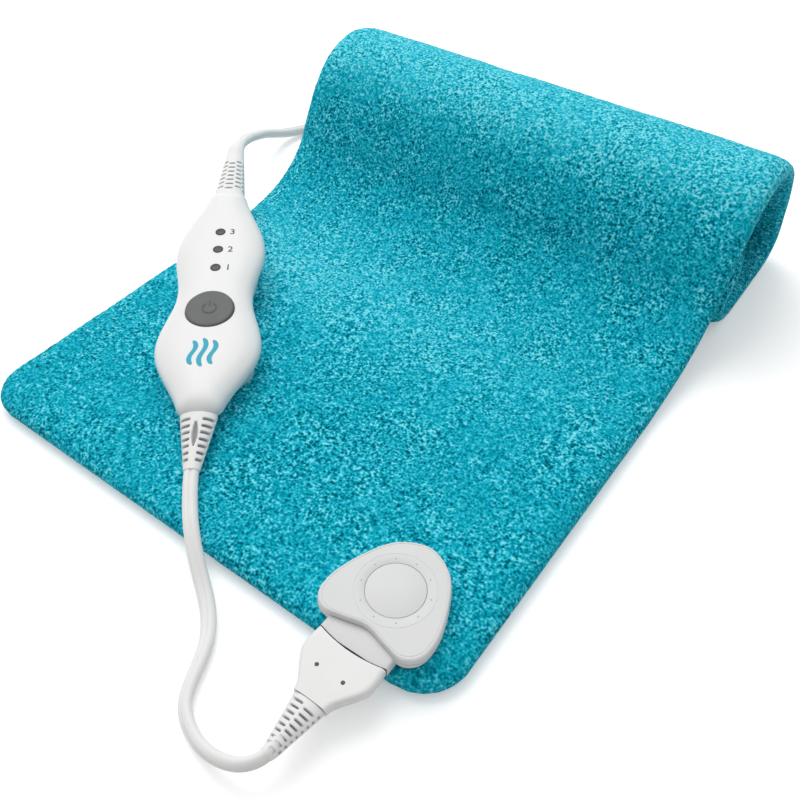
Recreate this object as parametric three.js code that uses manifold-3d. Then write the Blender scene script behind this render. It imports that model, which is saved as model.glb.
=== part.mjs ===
// A plush heating pad, half rolled up, with a plug-in lead and an in-line controller.
// Millimetres, +Z up. The origin is the middle of the flat stretch's underside.
import * as THREE from 'three';
import { mergeVertices } from 'three/addons/utils/BufferGeometryUtils.js';
import Module from 'manifold-3d';

const wasm = await Module();
wasm.setup();

// Clearances
const GAP = 0.3;
const CUT = 1;

// Pad
const PAD_WIDTH = 305;
const PAD_THICKNESS = 12;
const PAD_CORNER = 24;
const RIM_HEIGHT = 2.4;
const RIM_ROUND = 14;
const HEM_WIDTH = 6;
const COVER_THICKNESS = 2.6;
const FELT_THICKNESS = 1.7;
const FELT_INSET = 22;
const WIRE_DIAMETER = 1.8;
const WIRE_RUNS = 4;
const WIRE_PITCH = 64;
const THERMOSTAT = { x: 14, y: 6, z: 2, rightAlong: 110, leftAlong: 150 };

// Roll
const FLAT_LENGTH = 213;
const ROLL_DEPTH = 178;
const ROLL_HEIGHT = 96;
const ROLL_STEP = 11;
// The roll's path after the flat stretch, as shares of its depth and rise.
const ROLL_SHAPE = [
  [0.17, 0.1], [0.312, 0.3], [0.386, 0.56], [0.45, 0.77], [0.54, 0.94], [0.67, 1], [0.8, 0.88],
  [0.89, 0.62], [0.94, 0.35], [0.965, 0.13], [0.93, 0.03], [0.87, 0.004], [0.8, 0.002], [0.64, 0.002],
  [0.57, 0.004], [0.5, 0.038], [0.455, 0.12], [0.45, 0.24], [0.48, 0.37], [0.55, 0.45], [0.63, 0.42],
];

// Pad connector
const CONNECTOR_AT = { x: 110.5, y: 28.5 };
const CONNECTOR_TURN = THREE.MathUtils.degToRad(0.5);
const PUCK_HALF_WIDTH = 28.6;
const PUCK_BACK = 27.4;
const PUCK_FRONT = 25.2;
const PUCK_POINTS = 32;
const PUCK_BASE_HEIGHT = 6.9;
const PUCK_CAP_HEIGHT = 3.4;
const TONGUE_HALF = 17.5;
const TONGUE_LENGTH = 30.4;
const SOCKET = { half: 13.4, bottom: 1.3, top: 6.5, back: -18 };
const DISC_RADIUS = 13.5;
const DISC_THICKNESS = 0.8;
const PIN_RADIUS = 0.7;
const PIN_LENGTH = 8;
const PIN_PITCH = 8;
const BACKING_THICKNESS = 1.4;
const BACKING_HALF = 26;
const BACKING_BACK = 22;
const CLAMP_SPOTS = [{ x: -22, y: -9 }, { x: 22, y: -9 }, { x: 0, y: 18 }];
const CLAMP_FLOOR = 2;
const PILOT_FLOOR = 1.5;
const CLAMP_SCREW_RADIUS = 1.2;
const CLAMP_HEAD_RADIUS = 2.5;
const CLAMP_HEAD_HEIGHT = 1.1;
const TAIL_RADIUS = 0.8;

// Lead plug
const PAD_LEAD_DIAMETER = 5.8;
const PLUG_HALF_WIDTH = 17.5;
const PLUG_HALF_HEIGHT = 4.2;
const PLUG_LENGTH = 27.6;
const PLUG_WALL = 1.6;
const PLUG_PIP = { radius: 1.1, across: 6.8, along: 14.7, recess: 0.8 };
const PLUG_BOOT = { length: 17, wide: 8, high: 4, ribs: 5, lead: PAD_LEAD_DIAMETER };
const PLUG_NECK_RADIUS = 1.7;
const CARRIER_HOLD = 9;
const SLEEVE_RADIUS = 1.5;

// Leads
const MAINS_LEAD_DIAMETER = 7.4;
const LEAD_STEPS = 30;
const LEAD_SIDES = 8;
const PAD_LEAD_ROUTE = [
  [110.1, -57.2, 15.3], [107.4, -61, 14.2], [103.2, -63.9, 12.5], [97.6, -65.7, 10.4], [90.8, -66.4, 7.9],
  [83.4, -65.8, 5.6], [76.2, -63.8, 4.1], [69.9, -60.8, 3.4], [65, -56.8, 3.2], [61.3, -51.2, 3.2],
  [58, -43.8, 3.2], [55, -37, 3.2], [51.2, -30.4, 3.2], [46, -24.4, 3.3], [40.4, -19.4, 3.9],
  [33.6, -14.6, 5.4], [26, -9.6, 8.4], [17.6, -3.6, 12.2], [8.6, 3.8, 15.2], [-0.6, 12.4, 16.4],
];
const MAINS_LEAD_ROUTE = [
  [-178, 236.5, 41.2], [-185, 250, 37], [-192, 265.5, 30.5], [-199, 281.5, 22.5],
  [-204, 297, 14.2], [-206, 311, 7.8], [-203.5, 325, 4.7], [-197, 339, 4.1], [-188, 354, 4.1],
  [-178, 368.5, 4.1], [-166, 382, 4.3], [-151, 393, 4.7], [-135, 399.6, 5.1],
];

// Controller
const CONTROLLER_AT = { x: -32.5, y: 50.8, z: 21 };
const CONTROLLER_TURN = THREE.MathUtils.degToRad(38.3);
const CONTROLLER_TILT = THREE.MathUtils.degToRad(5.7);
const CONTROLLER_LENGTH = 174;
const CONTROLLER_END_HALF = 11;
// Places along the controller follow its length, from the lower end.
const upController = (share) => share * CONTROLLER_LENGTH;
const LOWER_LOBE = { at: upController(0.2644), half: 29 };
const WAIST = { at: upController(0.4885), half: 21.6 };
const UPPER_LOBE = { at: upController(0.6954), half: 26.3 };
const CROWN = 9.7;
const KEEL = 27;
const SHELL_WALL = 2.2;
const BUTTON_AT = upController(0.3908);
const BUTTON_RADIUS = 14;
const BUTTON_PROUD = 1.3;
const BUTTON_TRAVEL = 1.2;
const BUTTON_FLANGE = { step: 1.2, thickness: 1.6, drop: 0.5 };
const BUTTON_STEM = { radius: 4, length: 2 };
const LENS_AT = { low: upController(0.5805), medium: upController(0.669), high: upController(0.7575) };
const LENS_RADIUS = 2.8;
const LENS_PROUD = 0.5;
const LENS_LIP = 1;
const BOARD_INSET = 11.5;
const BOARD_END = 14;
const BOARD_TOP = -2.4;
const BOARD_THICKNESS = 1.6;
const SHELF = { half: 9, thickness: 2, below: 20, above: 38 };
const SWITCH_HALF = 6;
const PLUNGER = { radius: 3, sunk: 1.4 };
const FUSE = { radius: 2.5, length: 18, at: upController(0.186) };
const TRIAC = { half: 5, at: upController(0.236), length: 5, top: 5 };
const CHIP = { half: 4, at: upController(0.279), length: 8, top: -0.5 };
const CAPACITOR = { half: 7, at: BUTTON_AT + BUTTON_RADIUS + BUTTON_FLANGE.step + CUT, length: 7, top: 5 };
const TERMINAL = { half: 5, inset: 2, length: 7, top: 3 };
const CORE_RADIUS = 2;
const CASE_SCREWS = [{ y: upController(0.207), x: 20.5 }, { y: upController(0.776), x: 17.8 }];
const CASE_BOSS_RADIUS = 3.4;
const CASE_SCREW_RADIUS = 1.2;
const CASE_HEAD_RADIUS = 2.6;
const CASE_HEAD_HEIGHT = 1.8;
const CASE_SEAT_HEIGHT = 4;
const BOOT_NECK_RADIUS = 3.2;
const FLANGE_STEP = 0.8;
const FLANGE_SET = 1.4;
const FLANGE_LENGTH = 2;
const BOOT_END_WALL = 0.9;
const LOWER_BOOT = { length: 29, wide: 9.8, high: 5.4, ribs: 6, lead: PAD_LEAD_DIAMETER };
const UPPER_BOOT = { length: 43, wide: 10, high: 6, ribs: 7, lead: MAINS_LEAD_DIAMETER };

// Mains plug
const MAINS_PLUG_AT = { x: 86, y: 411, z: 12.5 };
const MAINS_BOOT = { length: 24, wide: 7, high: 6.2, ribs: 4, lead: MAINS_LEAD_DIAMETER };
const MAINS_BODY = { length: 38, halfWidth: 12.5, halfHeight: 12 };
const BLADE = { length: 17, seat: 8, width: 6.3, thickness: 1.5, spacing: 12.7 };

// Stored hank of the mains lead
const HANK_AT = { x: -45, y: 440 };
const HANK_RUN = 105;
const HANK_FOLD = 22.4;
const HANK_PITCH = 8.5;
const HANK_LAYER = 8.2;
const HANK_LOOPS = 2;
const HANK_WAIST = 9;
const TIE_WIDTH = 12;
const TIE_THICKNESS = 1.2;

const plush = new THREE.MeshStandardMaterial({ color: 0x1fa9be, roughness: 0.95, metalness: 0 });
const felt = new THREE.MeshStandardMaterial({ color: 0xd9d4c8, roughness: 1, metalness: 0 });
const white = new THREE.MeshStandardMaterial({ color: 0xe9e9e9, roughness: 0.45, metalness: 0 });
const offWhite = new THREE.MeshStandardMaterial({ color: 0xdfdfdf, roughness: 0.5, metalness: 0 });
const grey = new THREE.MeshStandardMaterial({ color: 0x7b7b7b, roughness: 0.5, metalness: 0 });
const dark = new THREE.MeshStandardMaterial({ color: 0x3a3d40, roughness: 0.5, metalness: 0 });
const leadVinyl = new THREE.MeshStandardMaterial({ color: 0xe4e4e4, roughness: 0.55, metalness: 0 });
const brass = new THREE.MeshStandardMaterial({ color: 0xb8954a, roughness: 0.35, metalness: 1 });
const steel = new THREE.MeshStandardMaterial({ color: 0xa9acb0, roughness: 0.35, metalness: 1 });
const board = new THREE.MeshStandardMaterial({ color: 0x2f6b45, roughness: 0.6, metalness: 0 });
const insulation = new THREE.MeshStandardMaterial({ color: 0xc9785a, roughness: 0.6, metalness: 0 });

// Solids and meshes

function toSolid(geometry) {
  const plain = new THREE.BufferGeometry();
  plain.setAttribute('position', geometry.getAttribute('position').clone());
  if (geometry.index) plain.setIndex(geometry.index.clone());
  const merged = mergeVertices(plain, 1e-4);
  return new wasm.Manifold(new wasm.Mesh({
    numProp: 3,
    vertProperties: new Float32Array(merged.getAttribute('position').array),
    triVerts: new Uint32Array(merged.index.array),
  }));
}

function toGeometry(solid) {
  const data = solid.getMesh();
  const geometry = new THREE.BufferGeometry();
  geometry.setAttribute('position', new THREE.BufferAttribute(Float32Array.from(data.vertProperties), 3));
  geometry.setIndex(Array.from(data.triVerts));
  geometry.computeVertexNormals();
  return geometry;
}

function cut(body, ...tools) {
  return toGeometry(tools.reduce((solid, tool) => solid.subtract(toSolid(tool)), toSolid(body)));
}

function join(body, ...more) {
  return toGeometry(more.reduce((solid, piece) => solid.add(toSolid(piece)), toSolid(body)));
}

function common(body, tool) {
  return toGeometry(toSolid(body).intersect(toSolid(tool)));
}

function piece(parent, name, geometry, material) {
  const mesh = new THREE.Mesh(geometry, material);
  mesh.name = name;
  parent.add(mesh);
  return mesh;
}

// A closed body from rows of points: triangles point out whichever way the rows run.
function closedBody(points, triangles) {
  let volume = 0;
  for (const [a, b, c] of triangles) {
    volume += points[a].dot(new THREE.Vector3().crossVectors(points[b], points[c]));
  }
  const facing = volume < 0 ? triangles.map(([a, b, c]) => [a, c, b]) : triangles;
  const geometry = new THREE.BufferGeometry().setFromPoints(points);
  geometry.setIndex(facing.flat());
  geometry.computeVertexNormals();
  return geometry;
}

// Rings of equal count joined in order, with a fan over each end.
function stack(rings) {
  const count = rings[0].length;
  const points = rings.flat();
  const triangles = [];
  for (let r = 0; r + 1 < rings.length; r += 1) {
    for (let k = 0; k < count; k += 1) {
      const a = r * count + k;
      const b = r * count + (k + 1) % count;
      triangles.push([a, b, b + count], [a, b + count, a + count]);
    }
  }
  for (const [ring, turned] of [[0, true], [rings.length - 1, false]]) {
    const middle = new THREE.Vector3();
    rings[ring].forEach((point) => middle.addScaledVector(point, 1 / count));
    const hub = points.push(middle) - 1;
    for (let k = 0; k < count; k += 1) {
      const a = ring * count + k;
      const b = ring * count + (k + 1) % count;
      triangles.push(turned ? [b, a, hub] : [a, b, hub]);
    }
  }
  return closedBody(points, triangles);
}

// Two matching grids of points joined into one sheet with thickness.
function sheet(outer, inner) {
  const rows = outer.length;
  const columns = outer[0].length;
  const points = [...outer.flat(), ...inner.flat()];
  const far = rows * columns;
  const triangles = [];
  const quad = (a, b, c, d) => triangles.push([a, b, c], [a, c, d]);
  for (let i = 0; i + 1 < rows; i += 1) {
    for (let j = 0; j + 1 < columns; j += 1) {
      const a = i * columns + j;
      quad(a, a + 1, a + 1 + columns, a + columns);
      quad(far + a, far + a + columns, far + a + 1 + columns, far + a + 1);
    }
  }
  for (let i = 0; i + 1 < rows; i += 1) {
    const a = i * columns;
    const b = a + columns - 1;
    quad(a, a + columns, far + a + columns, far + a);
    quad(b + columns, b, far + b, far + b + columns);
  }
  for (let j = 0; j + 1 < columns; j += 1) {
    const last = (rows - 1) * columns + j;
    quad(j + 1, j, far + j, far + j + 1);
    quad(last, last + 1, far + last + 1, far + last);
  }
  return closedBody(points, triangles);
}

// A tube of straight-sided rings; up gives each ring's upper side.
function tube(path, radius, sides, up) {
  const rings = path.map((point, i) => {
    const before = path[Math.max(i - 1, 0)];
    const after = path[Math.min(i + 1, path.length - 1)];
    const ahead = new THREE.Vector3().subVectors(after, before).normalize();
    const side = new THREE.Vector3().crossVectors(ahead, up(i)).normalize();
    const top = new THREE.Vector3().crossVectors(side, ahead);
    return Array.from({ length: sides }, (_, k) => {
      const angle = (k + 0.5) * 2 * Math.PI / sides;
      return point.clone()
        .addScaledVector(side, radius * Math.cos(angle))
        .addScaledVector(top, radius * Math.sin(angle));
    });
  });
  return stack(rings);
}

function block(x0, x1, y0, y1, z0, z1) {
  const geometry = new THREE.BoxGeometry(x1 - x0, y1 - y0, z1 - z0);
  return geometry.translate((x0 + x1) / 2, (y0 + y1) / 2, (z0 + z1) / 2);
}

function post(x, y, z0, z1, radius, sides = 16) {
  const geometry = new THREE.CylinderGeometry(radius, radius, z1 - z0, sides);
  return geometry.rotateX(Math.PI / 2).translate(x, y, (z0 + z1) / 2);
}

function rod(x, z, y0, y1, radius, sides = 12) {
  const geometry = new THREE.CylinderGeometry(radius, radius, y1 - y0, sides);
  return geometry.translate(x, (y0 + y1) / 2, z);
}

function clampScrew(x, y, headBottom, tip) {
  const head = post(x, y, headBottom, headBottom + CLAMP_HEAD_HEIGHT, CLAMP_HEAD_RADIUS, 12);
  return join(head, post(x, y, tip, headBottom + GAP, CLAMP_SCREW_RADIUS, 8));
}

// A rounded oblong ring across the local Y axis.
function crossRing(y, z, halfWidth, halfHeight, sides = 16, squareness = 2.6) {
  return Array.from({ length: sides }, (_, k) => {
    const angle = (k + 0.5) * 2 * Math.PI / sides;
    const soft = (value) => Math.sign(value) * Math.abs(value) ** (2 / squareness);
    return new THREE.Vector3(halfWidth * soft(Math.cos(angle)), y, z + halfHeight * soft(Math.sin(angle)));
  });
}

// A ribbed, tapered boot along -Y, with a neck and a flange held inside the housing.
function boot(start, z, { length, wide, high, ribs, lead: diameter }, wall, neck) {
  const sides = 8;
  const groove = 0.7;
  const ribbedFrom = 0.16;
  const ribbedSpan = 0.78;
  const end = diameter / 2 + BOOT_END_WALL;
  const flange = neck + FLANGE_STEP;
  const inside = start + wall + FLANGE_SET;
  const rings = [
    crossRing(inside + FLANGE_LENGTH, z, flange, flange, sides, 2),
    crossRing(inside, z, flange, flange, sides, 2),
    crossRing(inside, z, neck, neck, sides, 2),
    crossRing(start - GAP, z, neck, neck, sides, 2),
  ];
  const ringAt = (share, less) => {
    const y = start - GAP - share * (length - GAP);
    const halfWidth = wide + (end - wide) * share - less;
    const halfHeight = high + (end - high) * share - less;
    rings.push(crossRing(y, z, halfWidth, halfHeight, sides, 2));
  };
  ringAt(0, 0);
  for (let k = 0; k < ribs; k += 1) {
    const from = ribbedFrom + ribbedSpan * k / ribs;
    const span = ribbedSpan / ribs;
    ringAt(from, 0);
    ringAt(from + 0.15 * span, groove);
    ringAt(from + 0.45 * span, groove);
    ringAt(from + 0.6 * span, 0);
  }
  ringAt(1, 0);
  return stack(rings);
}

const object = new THREE.Group();
const frame = new THREE.Group();
frame.position.y = -FLAT_LENGTH / 2;
object.add(frame);

// Pad surface: a path in Y and Z, measured along its own length

const half = PAD_THICKNESS / 2;
const rollRise = ROLL_HEIGHT - PAD_THICKNESS;
const rollPoint = (depth, height) => [FLAT_LENGTH + depth * ROLL_DEPTH, half + height * rollRise];
const padCurve = new THREE.CatmullRomCurve3([
  [0, half], [FLAT_LENGTH / 2, half], [FLAT_LENGTH - 2 * ROLL_STEP, half], [FLAT_LENGTH - ROLL_STEP, half],
  ...ROLL_SHAPE.map(([depth, height]) => rollPoint(depth, height)),
].map(([y, z]) => new THREE.Vector3(0, y, z)), false, 'centripetal');
padCurve.arcLengthDivisions = 2000;
const padLength = padCurve.getLength();

const rimInsets = [0, 0.09, 0.32, 1].map((share) => share * RIM_ROUND);
const hemStations = [...rimInsets, PAD_CORNER];
const plainStations = [0.28, 0.52, 0.75].map((share) => share * FLAT_LENGTH);
const flatStations = [...plainStations, FLAT_LENGTH - 2 * ROLL_STEP, FLAT_LENGTH - ROLL_STEP];
const rollCount = Math.ceil((padLength - PAD_CORNER - FLAT_LENGTH) / ROLL_STEP);
const rollStations = Array.from({ length: rollCount }, (_, k) => (
  FLAT_LENGTH + k * (padLength - PAD_CORNER - FLAT_LENGTH) / rollCount));
const endStations = hemStations.map((inset) => padLength - inset).reverse();
const stations = [...hemStations, ...flatStations, ...rollStations, ...endStations].map((along) => {
  const share = along / padLength;
  const middle = padCurve.getPointAt(share);
  const ahead = padCurve.getTangentAt(share);
  return { along, middle, out: new THREE.Vector3(0, -ahead.z, ahead.y) };
});

function onPad(station, x, offset) {
  return station.middle.clone().addScaledVector(station.out, offset).setX(x);
}

function halfWidthAt(along) {
  const fromEnd = Math.min(along, padLength - along, PAD_CORNER);
  const into = PAD_CORNER - fromEnd;
  return PAD_WIDTH / 2 - PAD_CORNER + Math.sqrt(PAD_CORNER ** 2 - into ** 2);
}

function swell(distance, round) {
  const share = 1 - THREE.MathUtils.clamp(distance / round, 0, 1);
  return Math.sqrt(1 - share ** 2);
}

// Half thickness over the pad: full in the middle, drawn in to the sewn rim.
function coverGrid(side, edge, middle, hem) {
  return stations.map((station) => {
    const width = halfWidthAt(station.along);
    const rightOfMiddle = rimInsets.map((inset) => width - inset).reverse();
    const places = [...rimInsets.map((inset) => inset - width), 0, ...rightOfMiddle];
    const fromEnd = Math.min(station.along, padLength - station.along);
    return places.map((x) => {
      const fromSide = width - Math.abs(x);
      const full = swell(fromEnd - hem, RIM_ROUND - hem) * swell(fromSide - hem, RIM_ROUND - hem);
      return onPad(station, x, side * (edge + (middle - edge) * full));
    });
  });
}

function cover(side) {
  const outer = coverGrid(side, RIM_HEIGHT / 2, half, 0);
  const inner = coverGrid(side, GAP / 2, half - COVER_THICKNESS, HEM_WIDTH);
  return sheet(outer, inner);
}

const cavity = half - COVER_THICKNESS;
const feltStations = stations.filter(({ along }) => along > FELT_INSET && along < padLength - FELT_INSET);

function feltLayer(side) {
  const width = PAD_WIDTH / 2 - FELT_INSET;
  const outer = side * (cavity - GAP);
  const inner = side * (cavity - GAP - FELT_THICKNESS);
  return stack(feltStations.map((station) => [
    onPad(station, -width, inner), onPad(station, width, inner),
    onPad(station, width, outer), onPad(station, -width, outer),
  ]));
}

// Where the heating wire's two ends meet the connector's tails.
const tailPlaces = [{ x: CONNECTOR_AT.x - PIN_PITCH, row: 0 }, { x: CONNECTOR_AT.x + PIN_PITCH, row: 0 }];

// The wire runs up and down the pad, turning across at each end, and comes back to the connector.
function heatingWire() {
  const rows = feltStations;
  const first = 2;
  const last = rows.length - 3;
  const places = [[0, tailPlaces[1].x]];
  for (let run = 0; run < WIRE_RUNS; run += 1) {
    const x = ((WIRE_RUNS - 1) / 2 - run) * WIRE_PITCH;
    const up = run % 2 === 0;
    const chamfer = WIRE_PITCH / 5;
    if (run > 0) places.push([up ? first - 1 : last + 1, x + chamfer]);
    for (let k = first; k <= last; k += 1) places.push([up ? k : first + last - k, x]);
    if (run < WIRE_RUNS - 1) places.push([up ? last + 1 : first - 1, x - chamfer]);
  }
  const finalX = -(WIRE_RUNS - 1) / 2 * WIRE_PITCH;
  places.push([first - 1, finalX], [0, finalX + WIRE_PITCH / 4], [0, tailPlaces[0].x]);
  const path = places.map(([row, x]) => onPad(rows[row], x, 0));
  const ups = places.map(([row]) => rows[row].out);
  return tube(path, WIRE_DIAMETER / 2 * Math.SQRT2, 4, (i) => ups[i]);
}

function turnedAt(geometry, place, turn) {
  return geometry.clone().rotateZ(turn).translate(place.x, place.y, place.z);
}

const connectorPlace = { x: CONNECTOR_AT.x, y: CONNECTOR_AT.y, z: PAD_THICKNESS };
const inConnector = (geometry) => turnedAt(geometry, connectorPlace, CONNECTOR_TURN);
const tailSpots = tailPlaces.map(({ x }) => {
  const across = new THREE.Vector3(x - CONNECTOR_AT.x, feltStations[0].along - CONNECTOR_AT.y, 0);
  return across.applyAxisAngle(new THREE.Vector3(0, 0, 1), -CONNECTOR_TURN);
});
const backingFront = RIM_ROUND + 3 - CONNECTOR_AT.y;
const backingTop = -COVER_THICKNESS - GAP;
const backingBottom = backingTop - BACKING_THICKNESS;
const tailHoles = () => tailSpots.map(({ x, y }) => (
  post(x, y, -PAD_THICKNESS, PAD_THICKNESS, TAIL_RADIUS + GAP, 8)));
const clampHoles = (low, high) => CLAMP_SPOTS.map(({ x, y }) => (
  post(x, y, low, high, CLAMP_SCREW_RADIUS + GAP, 8)));

function buildPad() {
  const through = [...tailHoles(), ...clampHoles(-half, half)].map(inConnector);
  piece(frame, 'cover_face', cut(cover(1), ...through), plush);
  piece(frame, 'cover_back', cover(-1), plush);
  const pocket = block(
    -BACKING_HALF - GAP, BACKING_HALF + GAP,
    backingFront - GAP, BACKING_BACK + GAP, backingBottom - GAP, CUT);
  const tails = tailHoles().map(inConnector);
  piece(frame, 'felt_upper', cut(feltLayer(1), inConnector(pocket), ...tails), felt);
  piece(frame, 'felt_lower', feltLayer(-1), felt);
  piece(frame, 'heating_wire', heatingWire(), insulation);
  const { x: long, y: wide, z: high, rightAlong, leftAlong } = THERMOSTAT;
  const box = new THREE.BoxGeometry(long, wide, high);
  piece(frame, 'thermostat_right', box, dark).position.set(WIRE_PITCH, rightAlong, half);
  piece(frame, 'thermostat_left', box.clone(), dark).position.set(-WIRE_PITCH, leftAlong, half);
}

// Pad connector: a shield-shaped puck clamped to the face cover

function puckOutline(inset) {
  const points = [
    [0, PUCK_BACK], [0.5 * PUCK_HALF_WIDTH, 0.77 * PUCK_BACK], [0.82 * PUCK_HALF_WIDTH, 0.24 * PUCK_BACK],
    [PUCK_HALF_WIDTH, -0.44 * PUCK_FRONT], [0.95 * PUCK_HALF_WIDTH, -0.82 * PUCK_FRONT],
    [0.74 * PUCK_HALF_WIDTH, -PUCK_FRONT], [0.4 * PUCK_HALF_WIDTH, -0.94 * PUCK_FRONT],
    [0, -0.84 * PUCK_FRONT],
  ];
  const mirrored = points.slice(1, -1).reverse().map(([x, y]) => [-x, y]);
  const shrink = 1 - inset / PUCK_HALF_WIDTH;
  const around = [...points, ...mirrored].map(([x, y]) => new THREE.Vector3(x * shrink, y * shrink, 0));
  return new THREE.CatmullRomCurve3(around, true, 'catmullrom', 0.5).getPoints(PUCK_POINTS).slice(0, -1);
}

function puckBody(levels) {
  return stack(levels.map(([z, inset]) => puckOutline(inset).map((point) => point.clone().setZ(z))));
}

const baseBottom = GAP;
const baseTop = baseBottom + PUCK_BASE_HEIGHT;
const capBottom = baseTop + GAP;
const capTop = capBottom + PUCK_CAP_HEIGHT;
const pinHeight = (SOCKET.bottom + SOCKET.top) / 2;
const pinPlaces = [['live', -PIN_PITCH], ['sensor', 0], ['neutral', PIN_PITCH]];
const pilotFloor = baseBottom + PILOT_FLOOR;

function buildPuck() {
  const puck = new THREE.Group();
  puck.position.set(connectorPlace.x, connectorPlace.y, connectorPlace.z);
  puck.rotation.z = CONNECTOR_TURN;
  frame.add(puck);
  const outer = join(
    puckBody([[baseBottom, 1.5], [baseBottom + 1.5, 0.3], [baseTop - 1, 0], [baseTop, 0.5]]),
    block(-TONGUE_HALF, TONGUE_HALF, -TONGUE_LENGTH, -CUT, baseBottom + GAP, baseTop),
  );
  const { half: socketHalf, bottom, top, back } = SOCKET;
  const socket = block(-socketHalf, socketHalf, -TONGUE_LENGTH - CUT, back, bottom, top);
  const pinHoles = pinPlaces.map(([, x]) => (
    rod(x, pinHeight, SOCKET.back - CUT, SOCKET.back + PIN_LENGTH, PIN_RADIUS + GAP, 8)));
  const tailWells = tailSpots.map(({ x, y }) => post(x, y, -CUT, pinHeight, TAIL_RADIUS + GAP, 8));
  const heads = CLAMP_SPOTS.map(({ x, y }) => (
    post(x, y, CLAMP_FLOOR, baseTop + CUT, CLAMP_HEAD_RADIUS + GAP, 12)));
  const capPilot = post(0, 0, pilotFloor, baseTop + CUT, CLAMP_SCREW_RADIUS + GAP, 8);
  const holes = clampHoles(-CUT, baseTop + CUT);
  const wells = [...pinHoles, ...tailWells, ...heads, ...holes, capPilot];
  piece(puck, 'puck_base', cut(outer, socket, ...wells), offWhite);
  const cap = puckBody([
    [capBottom, 0.3], [capBottom + 1, 0.35], [capTop - 1.2, 0.8], [capTop - 0.4, 1.8], [capTop, 3.2]]);
  const recess = post(0, 0, capTop - DISC_THICKNESS - GAP, capTop + CUT, DISC_RADIUS + GAP, 24);
  const headSeat = capTop - DISC_THICKNESS - 2 * GAP - CLAMP_HEAD_HEIGHT;
  const capHead = post(0, 0, headSeat - GAP, capTop, CLAMP_HEAD_RADIUS + GAP, 12);
  const capHole = post(0, 0, capBottom - CUT, capTop, CLAMP_SCREW_RADIUS + GAP, 8);
  piece(puck, 'puck_cap', cut(cap, recess, capHead, capHole), offWhite);
  piece(puck, 'puck_disc', post(0, 0, capTop - DISC_THICKNESS, capTop, DISC_RADIUS, 24), offWhite);
  piece(puck, 'puck_cap_screw', clampScrew(0, 0, headSeat, pilotFloor + GAP), steel);
  CLAMP_SPOTS.forEach(({ x, y }, k) => piece(
    puck, `puck_clamp_screw_${k + 1}`, clampScrew(x, y, CLAMP_FLOOR + GAP, backingBottom), steel));
  const plate = block(-BACKING_HALF, BACKING_HALF, backingFront, BACKING_BACK, backingBottom, backingTop);
  piece(puck, 'backing_plate', cut(plate, ...tailHoles(), ...clampHoles(-half, half)), offWhite);
  for (const [name, x] of pinPlaces) {
    const pin = rod(x, pinHeight, SOCKET.back - PIN_LENGTH, SOCKET.back + PIN_LENGTH - GAP, PIN_RADIUS, 8);
    piece(puck, `pin_${name}`, pin, brass);
  }
  const wireTop = -half + WIRE_DIAMETER / 2 + GAP;
  tailSpots.forEach(({ x, y }, k) => piece(
    puck, `wire_tail_${k + 1}`, post(x, y, wireTop, pinHeight - GAP, TAIL_RADIUS, 8), insulation));
}

// The first two points of a lead that leaves a boot along its group's Y axis.
function leadEnd(group, y, way, z, diameter) {
  group.updateWorldMatrix(true, false);
  return [GAP, GAP + diameter].map((off) => (
    frame.worldToLocal(group.localToWorld(new THREE.Vector3(0, y + way * off, z)))));
}

// Lead plug: slides out of the socket along the connector's own -Y

const plugFace = -TONGUE_LENGTH - GAP;
const plugBack = plugFace - PLUG_LENGTH;
const carrierFront = SOCKET.back - GAP;
const carrierBack = plugFace - CARRIER_HOLD;
const sleeveBack = SOCKET.back - PIN_LENGTH - 2;

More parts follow.
